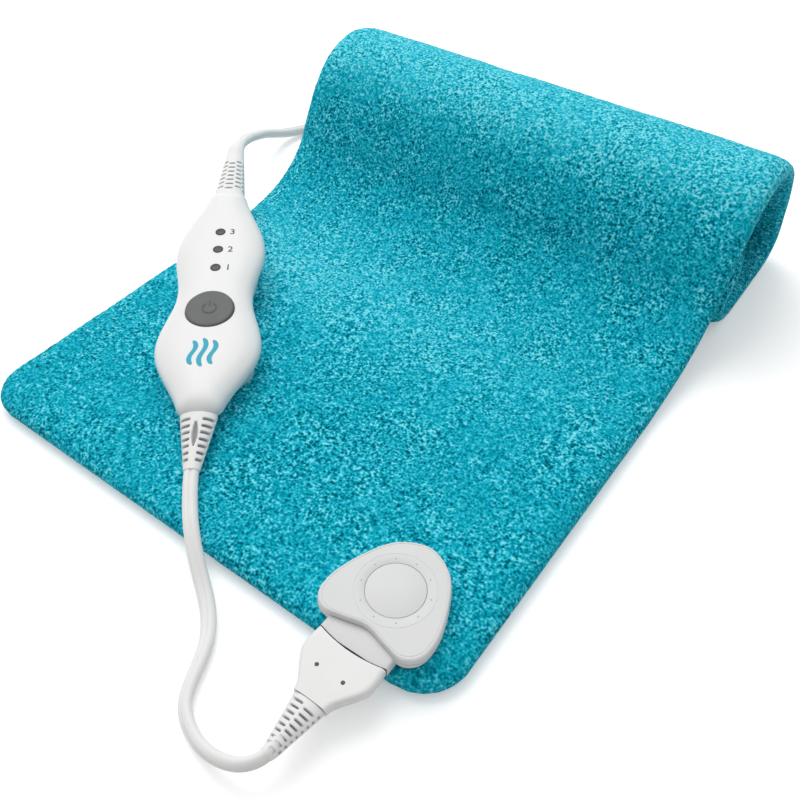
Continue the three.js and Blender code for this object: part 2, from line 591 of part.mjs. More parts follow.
function buildPlug() {
  const plug = new THREE.Group();
  plug.position.set(connectorPlace.x, connectorPlace.y, connectorPlace.z);
  plug.rotation.z = CONNECTOR_TURN;
  frame.add(plug);
  const outline = (less) => stack([
    [0, 1, 1], [0.22, 1.03, 1], [0.42, 1, 1], [0.58, 0.86, 1], [0.74, 0.68, 0.99], [0.88, 0.54, 0.97],
    [1, 0.48, 0.93],
  ].map(([share, wide, high]) => crossRing(
    plugFace - less - share * (PLUG_LENGTH - 2 * less), pinHeight,
    wide * PLUG_HALF_WIDTH - less, high * PLUG_HALF_HEIGHT - less, 20, 4)));
  const neck = rod(0, pinHeight, plugBack - CUT, plugBack + PLUG_WALL + CUT, PLUG_NECK_RADIUS + GAP);
  const mouth = block(
    -SOCKET.half, SOCKET.half, carrierBack, plugFace + CUT, SOCKET.bottom, SOCKET.top);
  const shell = cut(outline(0), outline(PLUG_WALL), neck, mouth);
  const reach = 2 * PLUG_HALF_WIDTH;
  const upper = block(-reach, reach, 2 * plugBack, 0, pinHeight + GAP / 2, reach);
  const lower = block(-reach, reach, 2 * plugBack, 0, -reach, pinHeight - GAP / 2);
  const pipY = plugFace - PLUG_PIP.along;
  const roof = pinHeight + PLUG_HALF_HEIGHT;
  const pipFloor = pinHeight - PLUG_HALF_HEIGHT + PLUG_WALL + GAP;
  const pipSides = [['left', -PLUG_PIP.across], ['right', PLUG_PIP.across]];
  const pipHoles = pipSides.map(([, x]) => post(x, pipY, pinHeight, roof + CUT, PLUG_PIP.radius + GAP, 10));
  piece(plug, 'plug_top', cut(common(shell, upper), ...pipHoles), white);
  piece(plug, 'plug_bottom', common(shell, lower), white);
  pipSides.forEach(([side, x]) => piece(
    plug, `plug_pin_${side}`, post(x, pipY, pipFloor, roof - PLUG_PIP.recess, PLUG_PIP.radius, 10), dark));
  const contactHoles = pinPlaces.map(([, x]) => (
    rod(x, pinHeight, sleeveBack, carrierFront + CUT, SLEEVE_RADIUS + GAP, 10)));
  const carrier = block(
    GAP - SOCKET.half, SOCKET.half - GAP, carrierBack + GAP, carrierFront,
    SOCKET.bottom + GAP, SOCKET.top - GAP);
  piece(plug, 'contact_carrier', cut(carrier, ...contactHoles), grey);
  for (const [name, x] of pinPlaces) {
    const sleeve = rod(x, pinHeight, sleeveBack + GAP, carrierFront - GAP, SLEEVE_RADIUS, 10);
    const bore = rod(x, pinHeight, SOCKET.back - PIN_LENGTH - CUT, carrierFront, PIN_RADIUS + GAP, 8);
    piece(plug, `contact_${name}`, cut(sleeve, bore), brass);
  }
  piece(plug, 'plug_boot', boot(plugBack, pinHeight, PLUG_BOOT, PLUG_WALL, PLUG_NECK_RADIUS), white);
  return leadEnd(plug, plugBack - PLUG_BOOT.length, -1, pinHeight, PLUG_BOOT.lead);
}

// Controller: a two-lobed handset with a flat underside and a sloping face

function controllerHalf(along) {
  const ease = (share) => (1 - Math.cos(Math.PI * share)) / 2;
  const rise = (share) => Math.sin(Math.PI * share / 2);
  const blend = (from, to, share) => from + (to - from) * share;
  const end = CONTROLLER_END_HALF;
  if (along < LOWER_LOBE.at) return blend(end, LOWER_LOBE.half, rise(along / LOWER_LOBE.at));
  if (along < WAIST.at) {
    return blend(LOWER_LOBE.half, WAIST.half, ease((along - LOWER_LOBE.at) / (WAIST.at - LOWER_LOBE.at)));
  }
  if (along < UPPER_LOBE.at) {
    return blend(WAIST.half, UPPER_LOBE.half, ease((along - WAIST.at) / (UPPER_LOBE.at - WAIST.at)));
  }
  const fromTop = (CONTROLLER_LENGTH - along) / (CONTROLLER_LENGTH - UPPER_LOBE.at);
  return blend(end, UPPER_LOBE.half, rise(fromTop));
}

function controllerRing(z, inset) {
  const steps = 12;
  const inner = (CONTROLLER_LENGTH - 2 * inset) / CONTROLLER_LENGTH;
  const right = Array.from({ length: steps + 1 }, (_, k) => {
    const along = CONTROLLER_LENGTH * k / steps;
    const wide = Math.max(controllerHalf(along) - inset, 1);
    return new THREE.Vector3(wide, inset + along * inner, z);
  });
  const left = right.map((point) => point.clone().setX(-point.x)).reverse();
  return [...right, ...left];
}

const facePlan = [[0, 0], [0.42, 0.4], [0.68, 1.6], [0.87, 3.8], [0.96, 6.6], [1, 10]];
const keelPlan = [[0, 0], [0.2, 0.5], [0.42, 2], [0.66, 5], [0.86, 8.5], [1, 11]];

function faceBody(low, height, wall) {
  const rings = facePlan.map(([share, inset]) => controllerRing(share * height, inset + wall));
  return stack([controllerRing(low, wall), ...rings]);
}

function keelBody(top, depth, wall) {
  const rings = keelPlan.map(([share, inset]) => controllerRing(-share * depth, inset + wall));
  return stack([controllerRing(top, wall), ...rings]);
}

// Everything below a level plane above the pad's face, in the tilted controller's own frame.
function underPlane(height) {
  const reach = 2 * CONTROLLER_LENGTH;
  const drop = (PAD_THICKNESS + height - CONTROLLER_AT.z) / Math.cos(CONTROLLER_TILT);
  return block(-reach, reach, -reach, reach, -reach, 0).rotateX(-CONTROLLER_TILT).translate(0, 0, drop);
}

const caseScrewSpots = CASE_SCREWS.flatMap(({ x, y }) => [{ x: -x, y }, { x, y }]);
const boardBottom = BOARD_TOP - BOARD_THICKNESS;
const onBoard = BOARD_TOP + GAP;
const buttonTop = CROWN + BUTTON_PROUD;
const ceiling = CROWN - SHELL_WALL;
const flangeTop = ceiling - GAP - BUTTON_FLANGE.drop;
const flangeBottom = flangeTop - BUTTON_FLANGE.thickness;
const stemBottom = flangeBottom - BUTTON_STEM.length;
const plungerTop = stemBottom - GAP;
const switchTop = stemBottom - BUTTON_TRAVEL - GAP;
const plungerBottom = switchTop - PLUNGER.sunk;

function screwSeat(y) {
  const drop = (PAD_THICKNESS + CASE_SEAT_HEIGHT - CONTROLLER_AT.z) / Math.cos(CONTROLLER_TILT);
  return drop - y * Math.tan(CONTROLLER_TILT);
}

function controllerShells(controller) {
  const ends = [rod(0, 0, -CUT, SHELL_WALL + CUT, BOOT_NECK_RADIUS + GAP),
    rod(0, 0, CONTROLLER_LENGTH - SHELL_WALL - CUT, CONTROLLER_LENGTH + CUT, BOOT_NECK_RADIUS + GAP)];
  const seam = GAP / 2;
  const lensHoles = Object.values(LENS_AT).map((y) => post(0, y, 0, CROWN + CUT, LENS_RADIUS + GAP, 14));
  const buttonHole = post(0, BUTTON_AT, 0, CROWN + CUT, BUTTON_RADIUS + GAP, 32);
  const inside = faceBody(-CUT, ceiling, SHELL_WALL);
  const hollow = cut(faceBody(seam, CROWN, 0), inside);
  const bosses = caseScrewSpots.map(({ x, y }) => common(
    post(x, y, seam, CROWN, CASE_BOSS_RADIUS, 12), faceBody(seam, CROWN - CUT, CUT)));
  const pilots = caseScrewSpots.map(({ x, y }) => (
    post(x, y, -CUT, ceiling - CUT, CASE_SCREW_RADIUS + GAP, 8)));
  piece(controller, 'controller_top', cut(
    join(hollow, ...bosses), ...pilots, ...lensHoles, buttonHole, ...ends), white);

  const keel = cut(keelBody(-seam, KEEL, 0), underPlane(GAP));
  const well = cut(keelBody(CUT, KEEL - SHELL_WALL, SHELL_WALL), underPlane(GAP + SHELL_WALL));
  const pillars = caseScrewSpots.map(({ x, y }) => (
    common(post(x, y, -KEEL, -seam, CASE_BOSS_RADIUS, 12), keel)));
  const shelves = [BUTTON_AT - SHELF.below, BUTTON_AT + SHELF.above].map((y) => common(
    block(-SHELF.half, SHELF.half, y, y + SHELF.thickness, -KEEL, boardBottom - GAP), keel));
  const holes = caseScrewSpots.flatMap(({ x, y }) => [
    post(x, y, -KEEL - CUT, CUT, CASE_SCREW_RADIUS + GAP, 8),
    post(x, y, -KEEL - CUT, screwSeat(y), CASE_HEAD_RADIUS + GAP, 12)]);
  piece(controller, 'controller_base', cut(
    join(cut(keel, well), ...pillars, ...shelves), ...holes, ...ends), white);
  caseScrewSpots.forEach(({ x, y }, k) => {
    const seat = screwSeat(y) - GAP;
    const body = join(post(x, y, seat - CASE_HEAD_HEIGHT, seat, CASE_HEAD_RADIUS, 12),
      post(x, y, seat - GAP, ceiling - CUT - 2 * GAP, CASE_SCREW_RADIUS, 8));
    piece(controller, `case_screw_${k + 1}`, body, steel);
  });
}

function controllerBoard(controller) {
  const from = BOARD_END;
  const to = CONTROLLER_LENGTH - BOARD_END;
  const steps = 10;
  const edge = Array.from({ length: steps + 1 }, (_, k) => {
    const along = from + (to - from) * k / steps;
    return new THREE.Vector2(controllerHalf(along) - BOARD_INSET, along);
  });
  const outline = [...edge, ...edge.map(({ x, y }) => new THREE.Vector2(-x, y)).reverse()];
  const ring = (z) => outline.map(({ x, y }) => new THREE.Vector3(x, y, z));
  piece(controller, 'circuit_board', stack([ring(boardBottom), ring(BOARD_TOP)]), board);
  const dip = plungerBottom - BUTTON_TRAVEL - GAP;
  const well = post(0, BUTTON_AT, dip, switchTop + CUT, PLUNGER.radius + GAP, 12);
  const mounted = ({ half: wide, at, length, top }) => block(-wide, wide, at, at + length, onBoard, top);
  const at = BUTTON_AT - SWITCH_HALF;
  const body = mounted({ half: SWITCH_HALF, at, length: 2 * SWITCH_HALF, top: switchTop });
  piece(controller, 'switch_body', cut(body, well), dark);
  const plunger = post(0, BUTTON_AT, plungerBottom, plungerTop, PLUNGER.radius, 12);
  piece(controller, 'switch_plunger', plunger, grey);
  piece(controller, 'triac', mounted(TRIAC), dark);
  piece(controller, 'fuse', new THREE.CylinderGeometry(FUSE.radius, FUSE.radius, FUSE.length, 12)
    .rotateZ(Math.PI / 2).translate(0, FUSE.at, onBoard + FUSE.radius), offWhite);
  piece(controller, 'capacitor', mounted(CAPACITOR), insulation);
  piece(controller, 'control_chip', mounted(CHIP), dark);
  for (const [name, start, inward, end] of [
    ['lower', 0, 1, from], ['upper', CONTROLLER_LENGTH, -1, to]]) {
    const face = start + inward * (SHELL_WALL + FLANGE_SET + FLANGE_LENGTH + GAP);
    const near = end + inward * TERMINAL.inset;
    const at = Math.min(near, near + inward * TERMINAL.length);
    const core = [face, near - inward * GAP].sort((a, b) => a - b);
    piece(controller, `terminal_${name}`, mounted({ ...TERMINAL, at }), grey);
    piece(controller, `core_${name}`, rod(0, 0, ...core, CORE_RADIUS, 10), insulation);
  }
}

function controllerFront(controller) {
  const sides = 24;
  const flange = BUTTON_RADIUS + BUTTON_FLANGE.step;
  const dome = [
    [flangeBottom, flange], [flangeTop, flange], [flangeTop, BUTTON_RADIUS], [CROWN, BUTTON_RADIUS],
    [CROWN + 0.6 * BUTTON_PROUD, BUTTON_RADIUS - 0.6], [buttonTop, BUTTON_RADIUS - 2.4]];
  const ring = (z, radius) => Array.from({ length: sides }, (_, k) => {
    const angle = 2 * Math.PI * k / sides;
    return new THREE.Vector3(radius * Math.cos(angle), BUTTON_AT + radius * Math.sin(angle), z);
  });
  const cap = stack(dome.map(([z, radius]) => ring(z, radius)));
  const stem = post(0, BUTTON_AT, stemBottom, flangeTop, BUTTON_STEM.radius, 12);
  piece(controller, 'power_button', join(cap, stem), grey);
  for (const [name, y] of Object.entries(LENS_AT)) {
    const pipe = post(0, y, onBoard, CROWN + LENS_PROUD, LENS_RADIUS, 14);
    const lip = post(0, y, ceiling - GAP - LENS_LIP, ceiling - GAP, LENS_RADIUS + LENS_LIP, 14);
    piece(controller, `lens_${name}`, join(pipe, lip), dark);
  }
}

function buildController() {
  const controller = new THREE.Group();
  controller.position.set(CONTROLLER_AT.x, CONTROLLER_AT.y, CONTROLLER_AT.z);
  controller.rotation.set(CONTROLLER_TILT, 0, CONTROLLER_TURN, 'ZXY');
  frame.add(controller);
  controllerShells(controller);
  controllerBoard(controller);
  controllerFront(controller);
  piece(controller, 'boot_lower', boot(0, 0, LOWER_BOOT, SHELL_WALL, BOOT_NECK_RADIUS), white);
  const upper = boot(0, 0, UPPER_BOOT, SHELL_WALL, BOOT_NECK_RADIUS);
  piece(controller, 'boot_upper', upper.rotateZ(Math.PI).translate(0, CONTROLLER_LENGTH, 0), white);
  return {
    lower: leadEnd(controller, -LOWER_BOOT.length, -1, 0, LOWER_BOOT.lead),
    upper: leadEnd(controller, CONTROLLER_LENGTH + UPPER_BOOT.length, 1, 0, UPPER_BOOT.lead),
  };
}

// Leads

const upward = () => new THREE.Vector3(0, 0, 1);

function lead(points, diameter) {
  const curve = new THREE.CatmullRomCurve3(points, false, 'centripetal');
  return tube(curve.getSpacedPoints(LEAD_STEPS), diameter / 2, LEAD_SIDES, upward);
}

// One stored hank: loops spiral in on the floor, climb along a run, and spiral out on top.
function hankPath() {
  const steps = 24;
  const base = TIE_THICKNESS + GAP + MAINS_LEAD_DIAMETER / 2;
  const outer = HANK_FOLD + HANK_LOOPS * HANK_PITCH;
  const runShare = HANK_RUN / (2 * HANK_RUN + 2 * Math.PI * outer);
  const foldShare = 0.5 - runShare;
  const turns = 2 * HANK_LOOPS + runShare;
  const count = Math.round(turns * steps);
  return Array.from({ length: count + 1 }, (_, k) => {
    const turn = turns * k / count;
    const fromInside = Math.max(HANK_LOOPS - turn, turn - HANK_LOOPS - runShare, 0);
    const offset = HANK_FOLD + HANK_PITCH * fromInside;
    const climb = THREE.MathUtils.smoothstep(turn, HANK_LOOPS, HANK_LOOPS + runShare);
    const halfTurn = (turn % 1) % 0.5;
    const side = turn % 1 < 0.5 ? 1 : -1;
    const run = Math.min(halfTurn / runShare, 1) - 0.5;
    const fold = Math.max(halfTurn - runShare, 0) / foldShare * Math.PI;
    const waist = HANK_WAIST * Math.cos(Math.PI * run) ** 2;
    return new THREE.Vector3(
      HANK_AT.x + side * (run * HANK_RUN + offset * Math.sin(fold)),
      HANK_AT.y - side * (offset - waist) * Math.cos(fold),
      base + HANK_LAYER * climb);
  });
}

// The least distance between stretches of the tube that lie beside each other.
function leastGap(path) {
  const apart = 8;
  let least = Infinity;
  for (let i = 0; i < path.length; i += 1) {
    for (let j = i + apart; j < path.length; j += 1) {
      least = Math.min(least, path[i].distanceTo(path[j]));
    }
  }
  return least - MAINS_LEAD_DIAMETER;
}

function tieBand() {
  const corner = MAINS_LEAD_DIAMETER / 2 + GAP;
  const wide = HANK_FOLD + HANK_LOOPS * HANK_PITCH - HANK_WAIST + corner;
  const high = (MAINS_LEAD_DIAMETER + HANK_LAYER) / 2 + GAP;
  const rounded = (outline, more) => {
    const x = wide + more - corner;
    const y = high + more - corner;
    outline.absarc(x, y, corner, 0, Math.PI / 2);
    outline.absarc(-x, y, corner, Math.PI / 2, Math.PI);
    outline.absarc(-x, -y, corner, Math.PI, 1.5 * Math.PI);
    outline.absarc(x, -y, corner, 1.5 * Math.PI, 2 * Math.PI);
    return outline;
  };
  const band = rounded(new THREE.Shape(), TIE_THICKNESS);
  band.holes.push(rounded(new THREE.Path(), 0));
  const along = { depth: TIE_WIDTH, bevelEnabled: false, curveSegments: 4 };
  const geometry = new THREE.ExtrudeGeometry(band, along);
  geometry.translate(0, 0, -TIE_WIDTH / 2).rotateX(Math.PI / 2).rotateZ(Math.PI / 2);
  return geometry.translate(HANK_AT.x, HANK_AT.y, high + TIE_THICKNESS);
}

function buildMainsPlug() {
  const mains = new THREE.Group();
  mains.position.set(MAINS_PLUG_AT.x, MAINS_PLUG_AT.y, MAINS_PLUG_AT.z);
  mains.rotation.z = -Math.PI / 2;
  frame.add(mains);
  const { length, halfWidth, halfHeight } = MAINS_BODY;
  const body = stack([
    [0, 0.64, 0.58], [0.16, 0.88, 0.86], [0.42, 1, 1], [0.8, 1, 1], [1, 0.94, 0.94],
  ].map(([share, wide, high]) => (
    crossRing(share * length, 0, wide * halfWidth, high * halfHeight, 16, 3.2))));
  const depth = SHELL_WALL + FLANGE_SET + FLANGE_LENGTH + GAP;
  const bore = rod(0, 0, -CUT, depth, BOOT_NECK_RADIUS + FLANGE_STEP + GAP);
  const bladeAt = (side, more) => {
    const x = side * BLADE.spacing / 2;
    const thick = BLADE.thickness / 2 + more;
    const wide = BLADE.width / 2 + more;
    return block(x - thick, x + thick, length - BLADE.seat - more, length + BLADE.length, -wide, wide);
  };
  piece(mains, 'mains_plug_body', cut(body, bore, bladeAt(-1, GAP), bladeAt(1, GAP)), white);
  piece(mains, 'mains_blade_line', bladeAt(-1, 0), steel);
  piece(mains, 'mains_blade_neutral', bladeAt(1, 0), steel);
  piece(mains, 'mains_plug_boot', boot(0, 0, MAINS_BOOT, SHELL_WALL, BOOT_NECK_RADIUS), white);
  return leadEnd(mains, -MAINS_BOOT.length, -1, 0, MAINS_BOOT.lead);
}

function buildLeads(plug, lower, upper, mainsPlug) {
  const at = ([x, y, z]) => new THREE.Vector3(x, y, z);
  const reversed = (points) => [...points].reverse();
  const padPoints = [...plug, ...PAD_LEAD_ROUTE.map(at), ...reversed(lower)];
  piece(frame, 'pad_lead', lead(padPoints, PAD_LEAD_DIAMETER), leadVinyl);
  const hank = hankPath();
  const entry = hank[0].clone().setX(hank[0].x - 2 * MAINS_LEAD_DIAMETER);
  const before = [MAINS_LEAD_DIAMETER + GAP, GAP].map((off) => entry.clone().setX(entry.x - off));
  const mainsPoints = [...upper, ...MAINS_LEAD_ROUTE.map(at), ...before];
  piece(frame, 'mains_lead', lead(mainsPoints, MAINS_LEAD_DIAMETER), leadVinyl);
  const last = hank[hank.length - 1];
  const exit = [0.4, 0.75].map((share) => last.clone().lerp(mainsPlug[1], share));
  exit[0].y = last.y + 0.15 * (mainsPlug[1].y - last.y);
  exit[1].y = last.y + 0.8 * (mainsPlug[1].y - last.y);
  const path = [entry, ...hank, ...exit, ...reversed(mainsPlug)];
  console.log(`hank: least gap between its loops ${leastGap(path).toFixed(2)} mm`);
  piece(frame, 'mains_hank', tube(path, MAINS_LEAD_DIAMETER / 2, 6, upward), leadVinyl);
  piece(frame, 'hank_tie', tieBand(), dark);
}

buildPad();
buildPuck();
const plugEnd = buildPlug();
const { lower, upper } = buildController();
const mainsPlugEnd = buildMainsPlug();
buildLeads(plugEnd, lower, upper, mainsPlugEnd);

export default object;
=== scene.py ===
"""The looks of a plush heating pad, half rolled up, with its plug-in lead and hand controller."""
import math

import bmesh
import bpy
import numpy as np
from mathutils import Matrix, Vector, noise


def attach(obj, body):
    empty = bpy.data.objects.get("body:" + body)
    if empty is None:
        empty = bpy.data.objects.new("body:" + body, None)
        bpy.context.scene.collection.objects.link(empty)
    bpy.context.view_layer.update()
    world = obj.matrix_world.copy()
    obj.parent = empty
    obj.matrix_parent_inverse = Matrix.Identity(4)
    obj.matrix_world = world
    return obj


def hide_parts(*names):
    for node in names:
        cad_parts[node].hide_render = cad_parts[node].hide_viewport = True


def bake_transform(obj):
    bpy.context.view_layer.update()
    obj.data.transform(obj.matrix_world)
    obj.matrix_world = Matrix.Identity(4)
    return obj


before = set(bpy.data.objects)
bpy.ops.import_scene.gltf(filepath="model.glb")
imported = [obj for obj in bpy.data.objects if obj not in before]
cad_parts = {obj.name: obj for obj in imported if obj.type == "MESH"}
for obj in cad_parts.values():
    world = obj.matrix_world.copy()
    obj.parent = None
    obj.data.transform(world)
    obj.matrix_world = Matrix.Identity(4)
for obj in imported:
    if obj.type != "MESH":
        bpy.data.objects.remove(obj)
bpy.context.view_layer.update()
scene = bpy.context.scene
MM = 0.001


# ---- Places and sizes, in millimetres, as in the part

FRONT_TO_ORIGIN = 106.5
CONNECTOR_AT, CONNECTOR_TURN = (110.5, 28.5, 12), math.radians(0.5)
CONTROLLER_AT = (-32.5, 50.8, 21)
CONTROLLER_TURN, CONTROLLER_TILT = math.radians(38.3), math.radians(5.7)
MAINS_PLUG_AT = (86, 411, 12.5)
to_row = Matrix.Scale(MM, 4) @ Matrix.Translation((0, -FRONT_TO_ORIGIN, 0))
connector_place = to_row @ Matrix.Translation(CONNECTOR_AT) @ Matrix.Rotation(CONNECTOR_TURN, 4, "Z")
controller_place = (to_row @ Matrix.Translation(CONTROLLER_AT) @ Matrix.Rotation(CONTROLLER_TURN, 4, "Z")
                    @ Matrix.Rotation(CONTROLLER_TILT, 4, "X"))
mains_plug_place = to_row @ Matrix.Translation(MAINS_PLUG_AT) @ Matrix.Rotation(-math.pi / 2, 4, "Z")


# ---- Helpers

SPLINE_STEPS = 24


def linear(hex_colour):
    """An sRGB hex colour as linear RGBA."""
    parts = [int(hex_colour[i:i + 2], 16) / 255 for i in (1, 3, 5)]
    return [c / 12.92 if c <= 0.04045 else ((c + 0.055) / 1.055) ** 2.4 for c in parts] + [1.0]


def add_node(tree, kind, links=None, **settings):
    """Add one node: settings are its properties, links its inputs, as values or other nodes' sockets."""
    made = tree.nodes.new(kind)
    for name, value in settings.items():
        setattr(made, name, value)
    for key, value in (links or {}).items():
        if isinstance(value, bpy.types.NodeSocket):
            tree.links.new(value, made.inputs[key])
        else:
            made.inputs[key].default_value = value
    return made


def row_point(x, y, z):
    """A point measured in millimetres from the pad's front edge, in metres in the row frame."""
    return Vector((x, y - FRONT_TO_ORIGIN, z)) * MM


def smooth_step(value):
    value = min(max(value, 0), 1)
    return value * value * (3 - 2 * value)


def spline(points, spacing, closed=False):
    """A centripetal curve through the points, read off at even steps."""
    points = [Vector(p) for p in points]
    if closed:
        points = [points[-1], *points, points[0], points[1]]
    else:
        points = [2 * points[0] - points[1], *points, 2 * points[-1] - points[-2]]
    fine = []
    for a, b, c, d in zip(points, points[1:], points[2:], points[3:]):
        gaps = [max((q - p).length, 1e-9) ** 0.5 for p, q in ((a, b), (b, c), (c, d))]
        t1 = ((b - a) / gaps[0] - (c - a) / (gaps[0] + gaps[1]) + (c - b) / gaps[1]) * gaps[1]
        t2 = ((c - b) / gaps[1] - (d - b) / (gaps[1] + gaps[2]) + (d - c) / gaps[2]) * gaps[1]
        square, cube = 3 * c - 3 * b - 2 * t1 - t2, 2 * b - 2 * c + t1 + t2
        for t in np.arange(SPLINE_STEPS) / SPLINE_STEPS:
            fine.append(b + t1 * t + square * t ** 2 + cube * t ** 3)
    fine.append(points[-2])
    fine = np.array(fine)
    along = np.concatenate([[0], np.cumsum(np.linalg.norm(np.diff(fine, axis=0), axis=1))])
    at = np.linspace(0, along[-1], max(round(along[-1] / spacing), 2) + 1)
    line = np.stack([np.interp(at, along, fine[:, k]) for k in range(fine.shape[1])], axis=1)
    return line[:-1] if closed else line


def line_length(line):
    return float(np.sum(np.linalg.norm(np.diff(line, axis=0), axis=1)))


def loft(rings, cuts=None):
    """A closed skin: a circle takes the first ring's shape, and each next ring is drawn out of the last.

    cuts, where given, says how deep a slot is at each point, and is kept on the mesh for the material, which
    paints shade there."""
    bm = bmesh.new()
    count = len(rings[0])
    cut_layer = bm.verts.layers.float.new("cut") if cuts else None
    row = bmesh.ops.create_circle(bm, segments=count, radius=1)["verts"]
    for number, ring in enumerate(rings):
        if number:
            grown = bmesh.ops.extrude_edge_only(bm, edges=loop)["geom"]
            new_verts = {v for v in grown if isinstance(v, bmesh.types.BMVert)}
            row = [next(e.other_vert(v) for e in v.link_edges if e.other_vert(v) in new_verts) for v in row]
        for k, point in enumerate(ring):
            row[k].co = point
            if cuts:
                row[k][cut_layer] = cuts[number][k]
        loop = [bm.edges.get((row[k - 1], row[k])) for k in range(count)]
        if number in (0, len(rings) - 1):
            bmesh.ops.contextual_create(bm, geom=loop)
    return bm


def turned(profile, sides=64):
    """A round shape: its profile, as radius and height pairs, spun about the upright axis."""
    bm = bmesh.new()
    verts = [bm.verts.new((r, 0, z)) for r, z in profile]
    edges = [bm.edges.new(pair) for pair in zip(verts, verts[1:])]
    bmesh.ops.spin(bm, geom=verts + edges, axis=(0, 0, 1), cent=(0, 0, 0), steps=sides,
                   angle=2 * math.pi, use_merge=True)
    bmesh.ops.remove_doubles(bm, verts=bm.verts, dist=1e-5)
    return bm


def oval(half_width, half_height, sides, squareness=2.0):
    """Points round an oval, as pairs, squarer where squareness is above 2."""
    turns = [2 * math.pi * (k + 0.5) / sides for k in range(sides)]
    return [(half_width * math.copysign(abs(math.cos(t)) ** (2 / squareness), math.cos(t)),
             half_height * math.copysign(abs(math.sin(t)) ** (2 / squareness), math.sin(t))) for t in turns]


def oblong(half_width, half_height, corner, runs=(24, 4)):
    """Points round a rectangle with rounded corners, as pairs; runs are the steps along its sides."""
    points = []
    wide, high = half_width - corner, half_height - corner
    for quarter, (x, z) in enumerate(((wide, high), (-wide, high), (-wide, -high), (wide, -high))):
        arc = [math.radians(90 * quarter + 18 * k) for k in range(6)]
        points += [(x + corner * math.cos(t), z + corner * math.sin(t)) for t in arc]
        step = runs[quarter % 2]
        way = [(-1, 0), (0, -1), (1, 0), (0, 1)][quarter]
        length = 2 * (wide if quarter % 2 == 0 else high)
        x0, z0 = points[-1]
        points += [(x0 + way[0] * length * k / step, z0 + way[1] * length * k / step) for k in range(1, step)]
    return points


def piece(bm, name, material, body, slot, *nodes, place=None, smooth_angle=40):
    """Put a bmesh in its place as a piece that rides on a body, smooth but for its sharp edges."""
    if place:
        bm.transform(place)
    bmesh.ops.recalc_face_normals(bm, faces=bm.faces)
    limit = math.radians(smooth_angle)
    for face in bm.faces:
        face.smooth = True
    for edge in bm.edges:
        edge.smooth = edge.is_manifold and edge.calc_face_angle(0) < limit
    mesh = bpy.data.meshes.new(name)
    bm.to_mesh(mesh)
    bm.free()
    mesh.materials.append(material)
    made = bpy.data.objects.new(name, mesh)
    scene.collection.objects.link(made)
    if body:
        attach(made, body)
    if nodes:
        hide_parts(*nodes)
    return made


# ---- Camera, first of all

camera = bpy.data.objects.new("camera", bpy.data.cameras.new("camera"))
scene.collection.objects.link(camera)
camera.data.sensor_width = 36
camera.data.lens = 38.54
camera.data.clip_start = 0.01
camera.location = row_point(228.05, -127.91, 346.68)
camera.rotation_euler = (math.radians(43.643), 0, math.radians(36.409))
scene.camera = camera


# ---- Materials

CLOUD_MM, GRAIN_DEEP_MM = 14, 0.05
PLASTIC_VARIES, METAL_VARIES = 0.05, 0.08


def new_material(name):
    material = bpy.data.materials.new(name)
    material.use_nodes = True
    material.node_tree.nodes.clear()
    return material, material.node_tree


def moulded(name, colour, shade, roughness, grain_mm, bump, painted_shade_colour=None):
    """Moulded plastic: a fine even grain and a faint cloudiness from the mould."""
    material, tree = new_material(name)
    where = add_node(tree, "ShaderNodeTexCoord").outputs["Object"]
    cloud = add_node(tree, "ShaderNodeTexNoise", {
        "Vector": where, "Scale": 1 / (CLOUD_MM * MM), "Detail": 3.0})
    tint = add_node(tree, "ShaderNodeMix", {
        "Factor": cloud.outputs["Fac"], "A": linear(colour), "B": linear(shade)}, data_type="RGBA")
    # Painted shade: where the mesh's cut mask is set, the colour goes dark, as shade down in slots and
    # joints.
    if painted_shade_colour:
        cut = add_node(tree, "ShaderNodeAttribute", attribute_name="cut")
        tint = add_node(tree, "ShaderNodeMix", {
            "Factor": cut.outputs["Fac"], "A": tint.outputs["Result"],
            "B": linear(painted_shade_colour)}, data_type="RGBA")
    grain = add_node(tree, "ShaderNodeTexNoise", {
        "Vector": where, "Scale": 1 / (grain_mm * MM), "Detail": 2.0})
    gloss = add_node(tree, "ShaderNodeMapRange", {
        "Value": cloud.outputs["Fac"], "To Min": roughness - PLASTIC_VARIES,
        "To Max": roughness + PLASTIC_VARIES})
    relief = add_node(tree, "ShaderNodeBump", {
        "Height": grain.outputs["Fac"], "Strength": bump, "Distance": GRAIN_DEEP_MM * MM})
    shader = add_node(tree, "ShaderNodeBsdfPrincipled", {
        "Base Color": tint.outputs["Result"], "Roughness": gloss.outputs["Result"],
        "Normal": relief.outputs["Normal"], "IOR": 1.5})
    add_node(tree, "ShaderNodeOutputMaterial", {"Surface": shader.outputs["BSDF"]})
    return material


def metal(name, colour, shade, roughness, grain_mm):
    """Drawn or stamped metal: fine cloudy wear in its colour and gloss."""
    material, tree = new_material(name)
    where = add_node(tree, "ShaderNodeTexCoord").outputs["Object"]
    wear = add_node(tree, "ShaderNodeTexNoise", {
        "Vector": where, "Scale": 1 / (grain_mm * MM), "Detail": 4.0})
    tint = add_node(tree, "ShaderNodeMix", {
        "Factor": wear.outputs["Fac"], "A": linear(colour), "B": linear(shade)}, data_type="RGBA")
    gloss = add_node(tree, "ShaderNodeMapRange", {
        "Value": wear.outputs["Fac"], "To Min": roughness - METAL_VARIES, "To Max": roughness + METAL_VARIES})
    shader = add_node(tree, "ShaderNodeBsdfPrincipled", {
        "Base Color": tint.outputs["Result"], "Roughness": gloss.outputs["Result"], "Metallic": 1.0})
    add_node(tree, "ShaderNodeOutputMaterial", {"Surface": shader.outputs["BSDF"]})
    return material


# ABS of the controller and the mains plug: satin, with a soft sheen on its rounded shoulders.
white_abs = moulded("satin_white_abs", "#EEEEED", "#EAEAEA", 0.38, 0.6, 0.12)
# The lead plug's ABS is a shade less white and more matt, and painted dark with shade only where its face
# meets the puck.
bright_abs = moulded("bright_white_abs", "#EBEBEA", "#E6E6E5", 0.42, 0.6, 0.12, painted_shade_colour="#2A2B2C")
